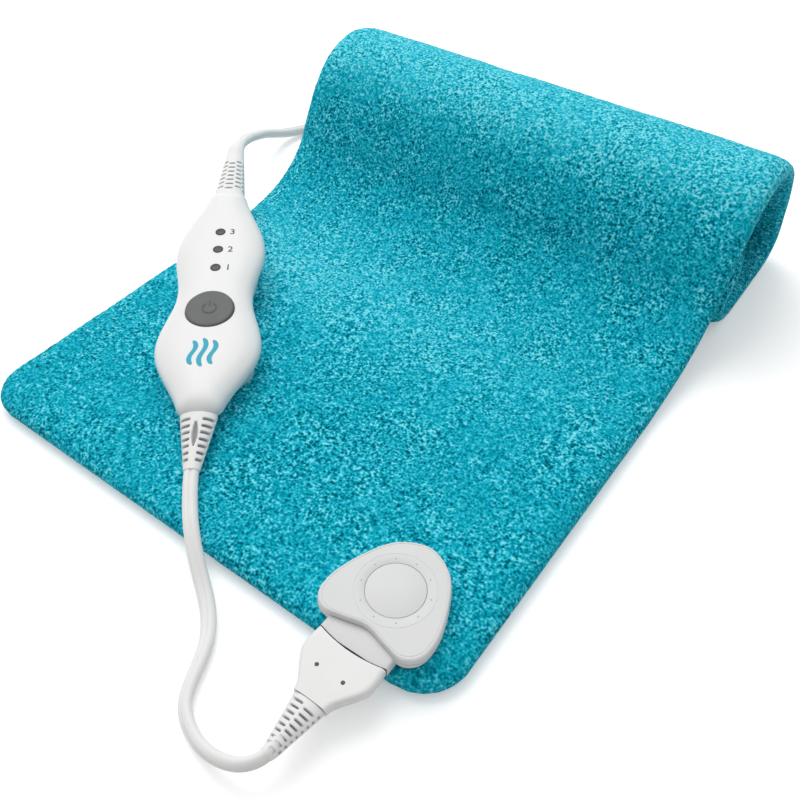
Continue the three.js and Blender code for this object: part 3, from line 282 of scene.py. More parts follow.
# The puck's ABS is greyer and more matt still, from a fine spark-eroded mould, and painted dark with shade
# down in its socket.
pale_abs = moulded("matt_pale_abs", "#DEDEDE", "#D9DADA", 0.5, 0.5, 0.2, painted_shade_colour="#2A2B2C")
# Soft vinyl of the boots and leads: matt, faintly uneven, and painted dark with shade down in the slots of a
# boot.
soft_vinyl = moulded("soft_white_vinyl", "#EFEFEE", "#E8E8E7", 0.5, 0.8, 0.2, painted_shade_colour="#88878A")
# Silicone rubber of the button: grey and quite matt.
button_rubber = moulded("grey_silicone", "#626364", "#585959", 0.55, 0.5, 0.25)
# Smoked acrylic of the three lenses: dark and smooth.
smoked_acrylic = moulded("smoked_acrylic", "#212325", "#191B1D", 0.3, 0.6, 0.05)
# Pad-printed ink, a thin even film, and the paler marks that ring the puck's disc.
dark_ink = moulded("dark_print", "#46484A", "#505254", 0.6, 0.4, 0.1)
teal_ink = moulded("teal_print", "#12A3BC", "#1EACC4", 0.55, 0.4, 0.1)
dot_ink = moulded("pale_grey_print", "#BDBEBF", "#B4B5B6", 0.6, 0.4, 0.1)
# Nylon webbing of the tie: dark and dull, with a coarse grain.
tie_nylon = moulded("tie_nylon", "#3A3D40", "#2D3033", 0.6, 0.7, 0.4)
# Out of sight when all is closed, and dull: hairy cream felt, tan silicone on the wires, grey nylon, dark
# phenolic and the green laminate of the board.
needle_felt = moulded("needled_felt", "#D8D3C6", "#C9C3B5", 0.95, 0.9, 1.0)
wire_silicone = moulded("wire_silicone", "#B9A48A", "#AA957B", 0.5, 0.8, 0.2)
grey_nylon = moulded("grey_nylon", "#8C8E90", "#808284", 0.5, 0.6, 0.2)
dark_phenolic = moulded("dark_phenolic", "#2E3032", "#383A3C", 0.5, 0.6, 0.2)
board_laminate = moulded("board_laminate", "#2C6A48", "#255C3E", 0.4, 0.4, 0.15)
# Plated steel and drawn brass: bright, with soft cloudy wear.
plated_steel = metal("plated_steel", "#C4C6C8", "#B2B4B7", 0.32, 1.5)
drawn_brass = metal("drawn_brass", "#C9A458", "#B8924A", 0.34, 1.5)

FINISHES = {
    "off_white": pale_abs, "white": white_abs, "boot": soft_vinyl, "lead_vinyl": soft_vinyl,
    "grey": grey_nylon, "dark": dark_phenolic, "felt": needle_felt, "plush": needle_felt,
    "insulation": wire_silicone, "board": board_laminate, "steel": plated_steel, "brass": drawn_brass,
}
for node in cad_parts.values():
    finish = FINISHES[node.data.materials[0].name.split(".")[0]]
    node.data.materials.clear()
    node.data.materials.append(finish)
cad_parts["hank_tie"].data.materials[0] = tie_nylon


# Sizes of the pile, in millimetres: a tuft, a curl on it, and a patch of the nap. Single fibres are too fine
# to show, so the curls that they form are the finest thing drawn.
TUFT, CURL, NAP_PATCH = 2.3, 1.3, 20
# Painted light: the pile is painted paler in front of the roll, most so on the left, and over the roll's top.
VALLEY_MIDDLE, VALLEY_HALF, VALLEY_RIGHT, VALLEY_LEFT = 80, 70, 150, -100
ROLL_TOP_FROM, ROLL_TOP_FULL = 68, 95


def plush_material():
    """Curled polyester pile, painted with a speckle of bright highlights on the tips and deep teal shade
    between the curls.
    """
    material, tree = new_material("curled_plush")
    where = add_node(tree, "ShaderNodeTexCoord").outputs["Object"]
    tuft = add_node(tree, "ShaderNodeTexNoise", {
        "Vector": where, "Scale": 1 / (TUFT * MM), "Detail": 1.0, "Roughness": 0.6})
    curl = add_node(tree, "ShaderNodeTexNoise", {
        "Vector": where, "Scale": 1 / (CURL * MM), "Detail": 0.0})
    # A patch is brushed flat and even, or standing and speckled.
    patch = add_node(tree, "ShaderNodeTexNoise", {
        "Vector": where, "Scale": 1 / (NAP_PATCH * MM), "Detail": 2.0})
    # Painted light: a band in front of the roll, fading towards the right, and the roll's top are painted
    # paler.
    spot = add_node(tree, "ShaderNodeSeparateXYZ", {"Vector": where}).outputs
    off_valley = add_node(tree, "ShaderNodeMath", {
        0: spot["Y"], 1: VALLEY_MIDDLE * MM}, operation="SUBTRACT")
    away = add_node(tree, "ShaderNodeMath", {0: off_valley.outputs[0]}, operation="ABSOLUTE")
    valley = add_node(tree, "ShaderNodeMapRange", {
        "Value": away.outputs[0], "From Min": VALLEY_HALF * MM, "From Max": 0.0},
        interpolation_type="SMOOTHSTEP")
    to_left = add_node(tree, "ShaderNodeMapRange", {
        "Value": spot["X"], "From Min": VALLEY_RIGHT * MM, "From Max": VALLEY_LEFT * MM, "To Min": 0.1})
    low = add_node(tree, "ShaderNodeMath", {
        0: valley.outputs["Result"], 1: to_left.outputs["Result"]}, operation="MULTIPLY")
    high = add_node(tree, "ShaderNodeMapRange", {
        "Value": spot["Z"], "From Min": ROLL_TOP_FROM * MM, "From Max": ROLL_TOP_FULL * MM},
        interpolation_type="SMOOTHSTEP")
    painted_light = add_node(tree, "ShaderNodeMath", {
        0: low.outputs[0], 1: high.outputs["Result"]}, operation="MAXIMUM").outputs[0]
    both = add_node(tree, "ShaderNodeMath", {
        0: tuft.outputs["Fac"], 1: curl.outputs["Fac"]}, operation="ADD")
    centred = add_node(tree, "ShaderNodeMath", {0: both.outputs[0], 1: 1.0}, operation="SUBTRACT")
    standing = add_node(tree, "ShaderNodeMapRange", {
        "Value": patch.outputs["Fac"], "From Min": 0.35, "From Max": 0.65, "To Min": 0.75, "To Max": 1.35})
    speckle = add_node(tree, "ShaderNodeMath", {
        0: centred.outputs[0], 1: standing.outputs["Result"]}, operation="MULTIPLY")
    # The painted light lifts the speckle's level on the ramp.
    lift = add_node(tree, "ShaderNodeMapRange", {"Value": painted_light, "To Min": 0.51, "To Max": 0.69})
    level = add_node(tree, "ShaderNodeMath", {
        0: speckle.outputs[0], 1: lift.outputs["Result"]}, operation="ADD")
    ramp = add_node(tree, "ShaderNodeValToRGB", {"Fac": level.outputs[0]})
    stops = ramp.color_ramp.elements
    stops[0].position, stops[0].color = 0.08, linear("#005A6C")
    stops[1].position, stops[1].color = 0.95, linear("#86E8F4")
    for position, colour in ((0.3, "#00869C"), (0.5, "#04AAC2"), (0.68, "#30C4DA")):
        stop = stops.new(position)
        stop.color = linear(colour)
    relief = add_node(tree, "ShaderNodeBump", {
        "Height": both.outputs[0], "Strength": 0.8, "Distance": 1.0 * MM})
    shader = add_node(tree, "ShaderNodeBsdfPrincipled", {
        "Base Color": ramp.outputs["Color"], "Roughness": 0.9, "Normal": relief.outputs["Normal"],
        "Specular IOR Level": 0.05, "Sheen Weight": 0.12, "Sheen Roughness": 0.4,
        "Sheen Tint": linear("#8FE8F2")})
    add_node(tree, "ShaderNodeOutputMaterial", {"Surface": shader.outputs["BSDF"]})
    return material


curled_plush = plush_material()


# ---- Leads, whose routes are the solids' own

PAD_LEAD_DIAMETER, PAD_LEAD_SECTION = 5.8, (7.5, 5.5)
MAINS_LEAD_DIAMETER, MAINS_LEAD_SECTION = 7.4, (8.3, 7)
PAD_LEAD_ROUTE = [
    (110.1, -57.2, 15.3), (107.4, -61, 14.2), (103.2, -63.9, 12.5), (97.6, -65.7, 10.4), (90.8, -66.4, 7.9),
    (83.4, -65.8, 5.6), (76.2, -63.8, 4.1), (69.9, -60.8, 3.4), (65, -56.8, 3.2), (61.3, -51.2, 3.2),
    (58, -43.8, 3.2), (55, -37, 3.2), (51.2, -30.4, 3.2), (46, -24.4, 3.3), (40.4, -19.4, 3.9),
    (33.6, -14.6, 5.4), (26, -9.6, 8.4), (17.6, -3.6, 12.2), (8.6, 3.8, 15.2), (-0.6, 12.4, 16.4),
]
MAINS_LEAD_ROUTE = [
    (-178, 236.5, 41.2), (-185, 250, 37), (-192, 265.5, 30.5), (-199, 281.5, 22.5), (-204, 297, 14.2),
    (-206, 311, 7.8), (-203.5, 325, 4.7), (-197, 339, 4.1), (-188, 354, 4.1), (-178, 368.5, 4.1),
    (-166, 382, 4.3), (-151, 393, 4.7), (-135, 399.6, 5.1),
]
PIN_HEIGHT = 3.9
PLUG_FACE, PLUG_LENGTH = -30.7, 27.6
PLUG_BACK = PLUG_FACE - PLUG_LENGTH
CONTROLLER_LENGTH = 174
PLUG_BOOT_LENGTH, LOWER_BOOT_LENGTH, UPPER_BOOT_LENGTH, MAINS_BOOT_LENGTH = 17, 29, 43, 24
FIT_GAP = 0.3
PAD_LEAD_STEP, PAD_LEAD_SIDES, PAD_LEAD_TWIST = 1.4, 64, 90
MAINS_LEAD_STEP, MAINS_LEAD_SIDES = 2.4, 28
GROOVE_DEEP, GROOVE_WIDE, TWIST_PACE = 0.3, 0.2, 1.35


def lead_end(place, y, way, z, diameter):
    """The first two points of a lead that leaves a boot."""
    return [place @ Vector((0, y + way * off, z)) for off in (FIT_GAP, FIT_GAP + diameter)]


def hank_points():
    """The stored lead: two loops spiral in on the floor, climb along a run, and spiral out on top."""
    run_length, fold, pitch, layer, loops, waist_in = 105, 22.4, 8.5, 8.2, 2, 9
    centre_x, centre_y, base = -45, 440, 5.2
    run_share = run_length / (2 * run_length + 2 * math.pi * (fold + loops * pitch))
    fold_share = 0.5 - run_share
    turns = 2 * loops + run_share
    count = round(turns * 24)
    points = []
    for k in range(count + 1):
        turn = turns * k / count
        offset = fold + pitch * max(loops - turn, turn - loops - run_share, 0)
        climb = smooth_step((turn - loops) / run_share)
        half_turn = (turn % 1) % 0.5
        side = 1 if turn % 1 < 0.5 else -1
        run = min(half_turn / run_share, 1) - 0.5
        angle = max(half_turn - run_share, 0) / fold_share * math.pi
        waist = waist_in * math.cos(math.pi * run) ** 2
        points.append(row_point(
            centre_x + side * (run * run_length + offset * math.sin(angle)),
            centre_y - side * (offset - waist) * math.cos(angle), base + layer * climb))
    return points


def lead_tube(line, section, twist, sides):
    """A twin-core lead: a broad sheath with a groove between its cores, twisted at its start, then flat."""
    line = [Vector(p) for p in line]
    half_width, half_height = section[0] / 2 * MM, section[1] / 2 * MM
    rings = []
    for i, point in enumerate(line):
        ahead = (line[min(i + 1, len(line) - 1)] - line[max(i - 1, 0)]).normalized()
        side = ahead.cross(Vector((0, 0, 1))).normalized()
        up = side.cross(ahead)
        turn = math.radians(twist * (1 - smooth_step(TWIST_PACE * i / len(line))))
        across = math.cos(turn) * side + math.sin(turn) * up
        over = math.cos(turn) * up - math.sin(turn) * side
        ring = []
        for k in range(sides):
            angle = 2 * math.pi * k / sides
            groove = GROOVE_DEEP * math.exp(-(math.cos(angle) / GROOVE_WIDE) ** 2)
            ring.append(point + half_width * math.cos(angle) * across
                        + half_height * (1 - groove) * math.sin(angle) * over)
        rings.append(ring)
    return loft(rings)


lower_end = lead_end(controller_place, -LOWER_BOOT_LENGTH, -1, 0, PAD_LEAD_DIAMETER)
upper_end = lead_end(controller_place, CONTROLLER_LENGTH + UPPER_BOOT_LENGTH, 1, 0, MAINS_LEAD_DIAMETER)
plug_end = lead_end(connector_place, PLUG_BACK - PLUG_BOOT_LENGTH, -1, PIN_HEIGHT, PAD_LEAD_DIAMETER)
mains_end = lead_end(mains_plug_place, -MAINS_BOOT_LENGTH, -1, 0, MAINS_LEAD_DIAMETER)

pad_line = spline([*plug_end, *(row_point(*p) for p in PAD_LEAD_ROUTE), *reversed(lower_end)],
                  PAD_LEAD_STEP * MM)
pad_cord = piece(lead_tube(pad_line, PAD_LEAD_SECTION, PAD_LEAD_TWIST, PAD_LEAD_SIDES),
                 "pad_cord", soft_vinyl, None, "lead_vinyl", "pad_lead")
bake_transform(pad_cord)

hank = hank_points()
entry = hank[0] - Vector((2 * MAINS_LEAD_DIAMETER * MM, 0, 0))
last = hank[-1]
# Two points that ease the lead out of the hank before it turns to its plug.
exits = [last.lerp(mains_end[1], share) for share in (0.4, 0.75)]
exits[0].y = last.y + 0.15 * (mains_end[1].y - last.y)
exits[1].y = last.y + 0.8 * (mains_end[1].y - last.y)
mains_line = spline([
    *upper_end, *(row_point(*p) for p in MAINS_LEAD_ROUTE), entry - Vector((MAINS_LEAD_DIAMETER * MM, 0, 0)),
    entry, *hank, *exits, *reversed(mains_end)], MAINS_LEAD_STEP * MM)
mains_cord = piece(lead_tube(mains_line, MAINS_LEAD_SECTION, 0, MAINS_LEAD_SIDES),
                   "mains_cord", soft_vinyl, "pad", "lead_vinyl", "mains_lead", "mains_hank")


# ---- Pad

PAD_WIDTH, PAD_HALF, PAD_CORNER = 305, 6, 24
RIM_HALF, RIM_ROUND = 1.2, 14
FLAT_LENGTH, ROLL_DEPTH, ROLL_RISE, ROLL_STEP = 213, 178, 84, 11
ROLL_SHAPE = [
    (0.17, 0.1), (0.312, 0.3), (0.386, 0.56), (0.45, 0.77), (0.54, 0.94), (0.67, 1), (0.8, 0.88),
    (0.89, 0.62), (0.94, 0.35), (0.965, 0.13), (0.93, 0.03), (0.87, 0.004), (0.8, 0.002), (0.64, 0.002),
    (0.57, 0.004), (0.5, 0.038), (0.455, 0.12), (0.45, 0.24), (0.48, 0.37), (0.55, 0.45), (0.63, 0.42),
]
PAD_STEP, FLOOR_CLEAR = 1.5, 0.1
# Waves of the filling, as how high and how broad, and curls that stand in the pile.
FILLING_WAVES = ((0.7, 38), (0.35, 17))
CURL_HIGH, CURL_BROAD, CURL_FINE = 0.4, 2.6, 1.4
# Sets the noise of the pad's two sides apart.
SIDE_APART = 40

# The puck's outline on the pad, as shares of its half width and of its reach to the back and front.
PUCK_WIDE, PUCK_BACK, PUCK_FRONT = 28.6, 27.4, 25.2
PUCK_OUTLINE = [(0, 1), (0.5, 0.77), (0.82, 0.24), (1, -0.44), (0.95, -0.82), (0.74, -1), (0.4, -0.94),
                (0, -0.84)]
half_outline = [(x * PUCK_WIDE, y * (PUCK_BACK if y > 0 else PUCK_FRONT)) for x, y in PUCK_OUTLINE]
puck_line = [Vector(p) for p in spline(
    half_outline + [(-x, y) for x, y in reversed(half_outline[1:-1])], 0.85, closed=True)]
# The pile stands up round it: how high, how far out and in, where, and the flat bed of its tongue.
NEST_HIGH, NEST_OUT, NEST_IN = 1.6, 8, 4
NEST_RIGHT_OF, NEST_BEFORE = 60, 80
TONGUE_FROM, TONGUE_BED_HALF, TONGUE_BED_EDGE = -12, 18, 4

puck_angles = [math.atan2(p.y, p.x) for p in puck_line]
puck_turns, puck_reaches = zip(*sorted(zip(puck_angles, (p.length for p in puck_line))))
to_puck = (Matrix.Translation(CONNECTOR_AT) @ Matrix.Rotation(CONNECTOR_TURN, 4, "Z")).inverted()


def puck_nest(x, y):
    """How far the pile stands up round the puck, which is pressed into it; none under its tongue."""
    spot = to_puck @ Vector((x, y, CONNECTOR_AT[2]))
    off = spot.to_2d().length - np.interp(math.atan2(spot.y, spot.x), puck_turns, puck_reaches)
    clear = 1 if spot.y > TONGUE_FROM else smooth_step((abs(spot.x) - TONGUE_BED_HALF) / TONGUE_BED_EDGE)
    return NEST_HIGH * clear * smooth_step(1 - (off / NEST_OUT if off > 0 else -off / NEST_IN))


def pad_mesh(step):
    """A flat grid for each side, joined at the rim, then laid along the roll's path."""
    path = spline([(0, PAD_HALF), (FLAT_LENGTH / 2, PAD_HALF), (FLAT_LENGTH - 2 * ROLL_STEP, PAD_HALF),
                   (FLAT_LENGTH - ROLL_STEP, PAD_HALF)]
                  + [(FLAT_LENGTH + d * ROLL_DEPTH, PAD_HALF + h * ROLL_RISE) for d, h in ROLL_SHAPE], step)
    rows = len(path) - 1
    length = line_length(path)
    ahead = np.gradient(path, axis=0)
    ahead /= np.linalg.norm(ahead, axis=1)[:, None]
    bm = bmesh.new()
    bmesh.ops.create_grid(bm, x_segments=round(PAD_WIDTH / step), y_segments=rows, size=0.5)
    back = bmesh.ops.duplicate(bm, geom=bm.verts[:] + bm.edges[:] + bm.faces[:])
    back_verts = {v for v in back["geom"] if isinstance(v, bmesh.types.BMVert)}
    # The two grids lie a hair apart, so that their rims can be bridged.
    bmesh.ops.translate(bm, verts=list(back_verts), vec=(0, 0, -0.2 / rows))
    bmesh.ops.bridge_loops(bm, edges=[e for e in bm.edges if e.is_boundary])
    for vert in bm.verts:
        side = -1 if vert in back_verts else 1
        row = int(round((vert.co.y + 0.5) * rows))
        along = length * row / rows
        from_end = min(along, length - along)
        into = PAD_CORNER - min(from_end, PAD_CORNER)
        width = PAD_WIDTH / 2 - PAD_CORNER + math.sqrt(PAD_CORNER ** 2 - into ** 2)
        x = 2 * vert.co.x * width
        full = 1.0
        for share in (from_end / RIM_ROUND, (width - abs(x)) / RIM_ROUND):
            full *= math.sqrt(1 - (1 - min(max(share, 0), 1)) ** 2)
        here = Vector((x, along, SIDE_APART * side))
        wave = sum(high * noise.noise(here / broad) for high, broad in FILLING_WAVES)
        if side > 0 and x > NEST_RIGHT_OF and along < NEST_BEFORE:
            wave += puck_nest(x, along)
        curl = 1 - 2 * abs(noise.noise(here / CURL_BROAD)) + 0.5 * noise.noise(here / CURL_FINE)
        offset = side * (RIM_HALF + (PAD_HALF - RIM_HALF) * full + full * wave + CURL_HIGH * curl)
        y, z = path[row]
        vert.co = row_point(x, y - offset * ahead[row][1], max(z + offset * ahead[row][0], FLOOR_CLEAR))
    return bm


pad = piece(pad_mesh(PAD_STEP), "plush_pad", curled_plush, "pad", "plush", "cover_face", "cover_back",
            smooth_angle=180)


# ---- Boots of the leads

BOOT_SIDES, BOOT_STEP, LEAD_COVER = 88, 0.32, 4.5
SLOT_DEEP, SLOT_SHARE, SLOT_EDGE, SLOT_EDGE_TURN, LONG_SLOT_EDGE = 1.3, 0.3, 0.4, 10, 0.5


def slot_depth(along, turn, columns, first, pitch, rows, thick):
    """How deep, from 0 to 1, the rows of slots are at a place on a boot.

    A column is the turn of its middle, its reach to each side and the shift of its rows."""
    deepest = 0
    for centre, reach, shift in columns:
        row = (along - first) / pitch - shift
        if -0.5 < row < rows - 0.5:
            off_row = abs(row - round(row)) * pitch
            off_turn = abs((turn - centre + 180) % 360 - 180)
            cut = smooth_step((thick / 2 + SLOT_EDGE / 2 - off_row) / SLOT_EDGE)
            cut *= smooth_step((reach + SLOT_EDGE_TURN / 2 - off_turn) / SLOT_EDGE_TURN)
            deepest = max(deepest, cut)
    return deepest


def boot_skin(route, root, tip, slots, long_slot=None):
    """A tapered, slotted boot along its lead's route, from an oval root to a tip that fits the lead.

    long_slot, where given, is one slot along its top, as its middle, half length and half width."""
    line = [Vector(p) for p in spline(route, BOOT_STEP)]
    rings, cuts = [], []
    for i, point in enumerate(line):
        ahead = (line[min(i + 1, len(line) - 1)] - line[max(i - 1, 0)]).normalized()
        across = Vector((0, 0, 1)).cross(ahead).normalized()
        up = ahead.cross(across)
        share = i / (len(line) - 1)
        half_width, half_height = (root[k] + (tip[k] - root[k]) * share for k in (0, 1))
        ring, cut_row = [], []
        for k in range(BOOT_SIDES):
            turn = 360 * (k + 0.5) / BOOT_SIDES
            x, height = half_width * math.cos(math.radians(turn)), half_height * math.sin(math.radians(turn))
            cut = slot_depth(i * BOOT_STEP, turn, **slots)
            if long_slot and height > 0:
                middle, half_long, half_wide = long_slot
                reach = half_wide * max(1 - ((i * BOOT_STEP - middle) / half_long) ** 2, 0)
                cut = max(cut, smooth_step((reach - abs(x)) / LONG_SLOT_EDGE)) if reach else cut
            depth = 1 - cut * min(SLOT_DEEP, SLOT_SHARE * half_height) / half_height
            ring.append(point + depth * (x * across + height * up))
            # The slot's depth also masks the painted shade down in it.
            cut_row.append(cut)
        rings.append(ring)
        cuts.append(cut_row)
    return loft(rings, cuts)


in_connector, in_controller = connector_place.inverted(), controller_place.inverted()
plug_route = [(0, PLUG_BACK - FIT_GAP, PIN_HEIGHT), (0, PLUG_BACK - PLUG_BOOT_LENGTH / 2, PIN_HEIGHT)]
plug_route += [in_connector @ Vector(p) for p in pad_line[0:8:2]]
piece(
    boot_skin(plug_route, (8, 4), (3, 4),
              {"columns": [
                  (122, 24, 0), (58, 24, 0.5), (238, 24, 0), (302, 24, 0.5), (0, 18, 0), (180, 18, 0.5)],
               "first": 2.6, "pitch": 2.7, "rows": 8, "thick": 0.75}),
    "plug_sleeve", soft_vinyl, "plug", "boot", "plug_boot", place=connector_place)
piece(
    boot_skin([(0, -FIT_GAP, 0), (0, -LOWER_BOOT_LENGTH - LEAD_COVER, 0)], (9.8, 5.4), (4.2, 3.1),
              {"columns": [(38, 28, 0), (142, 28, 0), (218, 28, 0), (322, 28, 0)],
               "first": 4.2, "pitch": 4.0, "rows": 7, "thick": 1.4}, long_slot=(13, 8.5, 1.7)),
    "lower_sleeve", soft_vinyl, "pad", "boot", "boot_lower", place=controller_place)
upper_route = [(0, CONTROLLER_LENGTH - 2, 0), (0, CONTROLLER_LENGTH + UPPER_BOOT_LENGTH / 2, 0)]
upper_route += [in_controller @ Vector(p) for p in mains_line[0:10:3]]
piece(
    boot_skin(upper_route, (10, 6), (4.25, 3.6),
              {"columns": [
                  (90, 15, 0), (48, 14, 0.5), (132, 14, 0.5), (8, 18, 0), (172, 18, 0), (270, 20, 0)],
               "first": 7, "pitch": 4.4, "rows": 7, "thick": 1.2}),
    "upper_sleeve", soft_vinyl, "pad", "boot", "boot_upper", place=controller_place)
mains_sleeve = piece(
    boot_skin([(0, 5, 0), (0, -MAINS_BOOT_LENGTH - LEAD_COVER, 0)], (7, 6.2), (4.4, 3.8),
              {"columns": [(0, 40, 0), (90, 40, 0.5), (180, 40, 0), (270, 40, 0.5)],
               "first": 9, "pitch": 4.2, "rows": 4, "thick": 1.4}),
    "mains_sleeve", soft_vinyl, "pad", "boot", "mains_plug_boot", place=mains_plug_place)


# ---- Controller

CROWN, SEAM, END_ROUND, FULLNESS = 9.7, 0.15, 14, 2.4
BROW, BROW_LEVELS, CROWN_LEVELS, WELL_GAP = 0.6, 22, 20, 0.45
SHELL_WALL, FACE_HOLLOW, KEEL_HOLLOW = 2.2, 4.5, 7
BUTTON_AT, BUTTON_RADIUS, BUTTON_PROUD = 68.0, 13.5, 0.8
LENS_AT = {"lens_low": 101.0, "lens_medium": 116.4, "lens_high": 131.8}
LENS_RADIUS, LENS_PROUD = 3.0, 0.5


def controller_half(along):
    """Half the controller's width along its length: two lobes and a waist, with rounded ends."""
    end, corner, end_fuller = 11, 4, 0.4
    stations = [(0, end), (46, 29), (85, 21.6), (121, 26.3), (CONTROLLER_LENGTH, end)]
    for number, ((a, half_a), (b, half_b)) in enumerate(zip(stations, stations[1:])):
        if along <= b:
            break
    share = (along - a) / (b - a)
    eased = (1 - math.cos(math.pi * share)) / 2
    if number == 0:
        eased += end_fuller * (math.sin(math.pi * share / 2) - eased)
    elif number == 3:
        eased += end_fuller * (1 - math.sin(math.pi * (1 - share) / 2) - eased)
    into = corner - min(along, CONTROLLER_LENGTH - along, corner)
    return half_a + (half_b - half_a) * eased - corner + math.sqrt(max(corner ** 2 - into ** 2, 0))


def controller_ring(inset, share):
    """One level of the controller, as points on its plan: drawn in at its sides, or shrunk to a share."""
    steps = 72
    drawn_in = inset + END_ROUND * (1 - share)
    side = []
    for k in range(steps + 1):
        along = CONTROLLER_LENGTH * (1 - math.cos(math.pi * k / steps)) / 2
        y = drawn_in + along * (CONTROLLER_LENGTH - 2 * drawn_in) / CONTROLLER_LENGTH
        side.append(Vector((max(share * controller_half(along) - inset, 0.5), y, 0)))
    return side + [Vector((-p.x, p.y, 0)) for p in reversed(side)]


def face_height(x, y):
    """How high the domed face is at a place on its plan: the level whose ring runs through it."""
    low, high = 0.0, 1.0
    for _ in range(24):
        share = (low + high) / 2
        drawn_in = END_ROUND * (1 - share)
        along = (y - drawn_in) * CONTROLLER_LENGTH / (CONTROLLER_LENGTH - 2 * drawn_in)
        if 0 <= along <= CONTROLLER_LENGTH and abs(x) <= share * controller_half(along):
            high = share
        else:
            low = share
    return SEAM + (CROWN - SEAM) * (1 - high ** FULLNESS) ** (1 / FULLNESS)


def on_face(ring):
    return [Vector((p.x, p.y, face_height(p.x, p.y))) for p in ring]


def hollow_rings(wall, height, seam):
    """The inside of one half of the case, from its ceiling or floor to its edge at the seam."""
    return [[p + Vector((0, 0, z)) for p in controller_ring(inset, 1)] for inset, z in (
        (wall, height), (SHELL_WALL, seam))]


# The face rises from the seam to its brow, then runs in to the round well of the button.
button_middle = Vector((0, BUTTON_AT, 0))
face_rings = hollow_rings(SHELL_WALL + 0.4, FACE_HOLLOW, SEAM)
for turn in np.linspace(0, 1, BROW_LEVELS):
    share = 1 - (1 - BROW) * turn ** 2
    height = SEAM + (CROWN - SEAM) * (1 - share ** FULLNESS) ** (1 / FULLNESS)
    face_rings.append([p + Vector((0, 0, height)) for p in controller_ring(0, share)])
brow = controller_ring(0, BROW)
rays = [(p - button_middle).normalized() for p in brow]
well = [button_middle + (BUTTON_RADIUS + WELL_GAP) * ray for ray in rays]
face_rings += [on_face([a.lerp(b, share) for a, b in zip(brow, well)])
               for share in np.linspace(0.05, 1, CROWN_LEVELS)]
for radius, down in ((BUTTON_RADIUS + 0.35, 0.12), (BUTTON_RADIUS + 0.3, 2.4)):
    ring = on_face([button_middle + radius * ray for ray in rays])
    face_rings.append([p - Vector((0, 0, down)) for p in ring])
piece(loft(face_rings), "controller_face", white_abs, "pad", "white", "controller_top",
      place=controller_place)

# How far the keel is drawn in, and how far down that is.
KEEL_LEVELS = [
    (0, 0), (0.4, 0.9), (1, 1.9), (1.8, 3.1), (2.7, 4.5), (3.5, 5.9), (4.2, 7.4), (4.8, 9), (5.4, 12),
    (6, 16), (6.8, 20), (7.8, 23), (9.2, 25.4), (11, 27),
]
# The height of the keel's sole at its lower end; from there it lies level on the pad.
SOLE = -8.743
# The case screws' places along it, and how far the keel may be drawn in there.
CASE_SCREWS, BOSS_WIDE = [(36.0, 2.8), (135.0, 2.2)], 6.5


def keel_ring(inset, down):
    """One level of the keel, cut off level at its sole, and fuller where the case screws stand."""
    ring = []
    for p in controller_ring(inset, 1):
        out = max(math.exp(-((p.y - y) / BOSS_WIDE) ** 2) * (inset - kept) for y, kept in CASE_SCREWS)
        x = p.x + math.copysign(max(out, 0), p.x)
        ring.append(Vector((x, p.y, max(-SEAM - down, SOLE - p.y * math.tan(CONTROLLER_TILT)))))
    return ring


keel_rings = hollow_rings(SHELL_WALL + 2.6, -KEEL_HOLLOW, -SEAM)
keel_rings += [keel_ring(inset, down) for inset, down in KEEL_LEVELS]
piece(loft(keel_rings), "controller_keel", white_abs, "pad", "white", "controller_base",
      place=controller_place)

cap = BUTTON_RADIUS
button_top = CROWN + BUTTON_PROUD
piece(turned([
    (0, CROWN - 3), (cap, CROWN - 3), (cap, button_top - 1.1), (cap - 0.15, button_top - 0.6),
    (cap - 0.5, button_top - 0.25), (cap - 1.1, button_top - 0.05), (cap - 3, button_top + 0.05),
    (cap * 0.5, button_top + 0.15), (0, button_top + 0.2)], 96),
    "button_cap", button_rubber, "button", "grey", "power_button",
    place=controller_place @ Matrix.Translation(button_middle))

for name, y in LENS_AT.items():
    piece(turned([(0, CROWN - 1), (LENS_RADIUS, CROWN - 1), (LENS_RADIUS, CROWN + 0.15),
                  (LENS_RADIUS - 0.25, CROWN + 0.35), (LENS_RADIUS * 0.6, CROWN + LENS_PROUD * 0.9),
                  (0, CROWN + LENS_PROUD)], 40),
          name + "_dome", smoked_acrylic, "pad", "dark", name,
          place=controller_place @ Matrix.Translation((0, y, 0)))


# ---- Print on the controller: plain numbers, a power sign and a heat sign

PRINT_THICK, INK_SPREAD = 0.06, 0.06
NUMBER_AT, NUMBER_HEIGHT = 5.6, 6.4
WAVE_WIDE, WAVE_SWING, WAVE_SPACING, WAVES_AT = 2.7, 1.4, 5.4, (-0.5, 36)
# Half the power sign's gap, in radians, and its inner and outer radius.
SIGN_GAP, SIGN_RADII = 0.55, (3.3, 4.3)


def lay_on_face(bm, x, y):
    """Move a flat print to its place and let it follow the domed face."""
    for vert in bm.verts:
        vert.co += Vector((x, y, PRINT_THICK + face_height(vert.co.x + x, vert.co.y + y)))
    return bm


def number_print(character, x, y, height):
    """A printed number, made a mesh and laid on the face."""
    words = bpy.data.objects.new("number", bpy.data.curves.new("number", "FONT"))
    words.data.body = character
    words.data.size = height
    words.data.extrude = PRINT_THICK / 2
    words.data.offset = INK_SPREAD
    words.data.align_x, words.data.align_y = "LEFT", "CENTER"
    scene.collection.objects.link(words)
    bpy.context.view_layer.update()
    mesh = bpy.data.meshes.new_from_object(words.evaluated_get(bpy.context.evaluated_depsgraph_get()))
    bm = bmesh.new()
    bm.from_mesh(mesh)
    bmesh.ops.remove_doubles(bm, verts=bm.verts, dist=1e-4)
    bpy.data.objects.remove(words)
    bpy.data.meshes.remove(mesh)
    piece(lay_on_face(bm, x, y), "number_" + character, dark_ink, "pad", "dark", place=controller_place)


for character, name in (("1", "lens_low"), ("2", "lens_medium"), ("3", "lens_high")):
    number_print(character, NUMBER_AT, LENS_AT[name], NUMBER_HEIGHT)


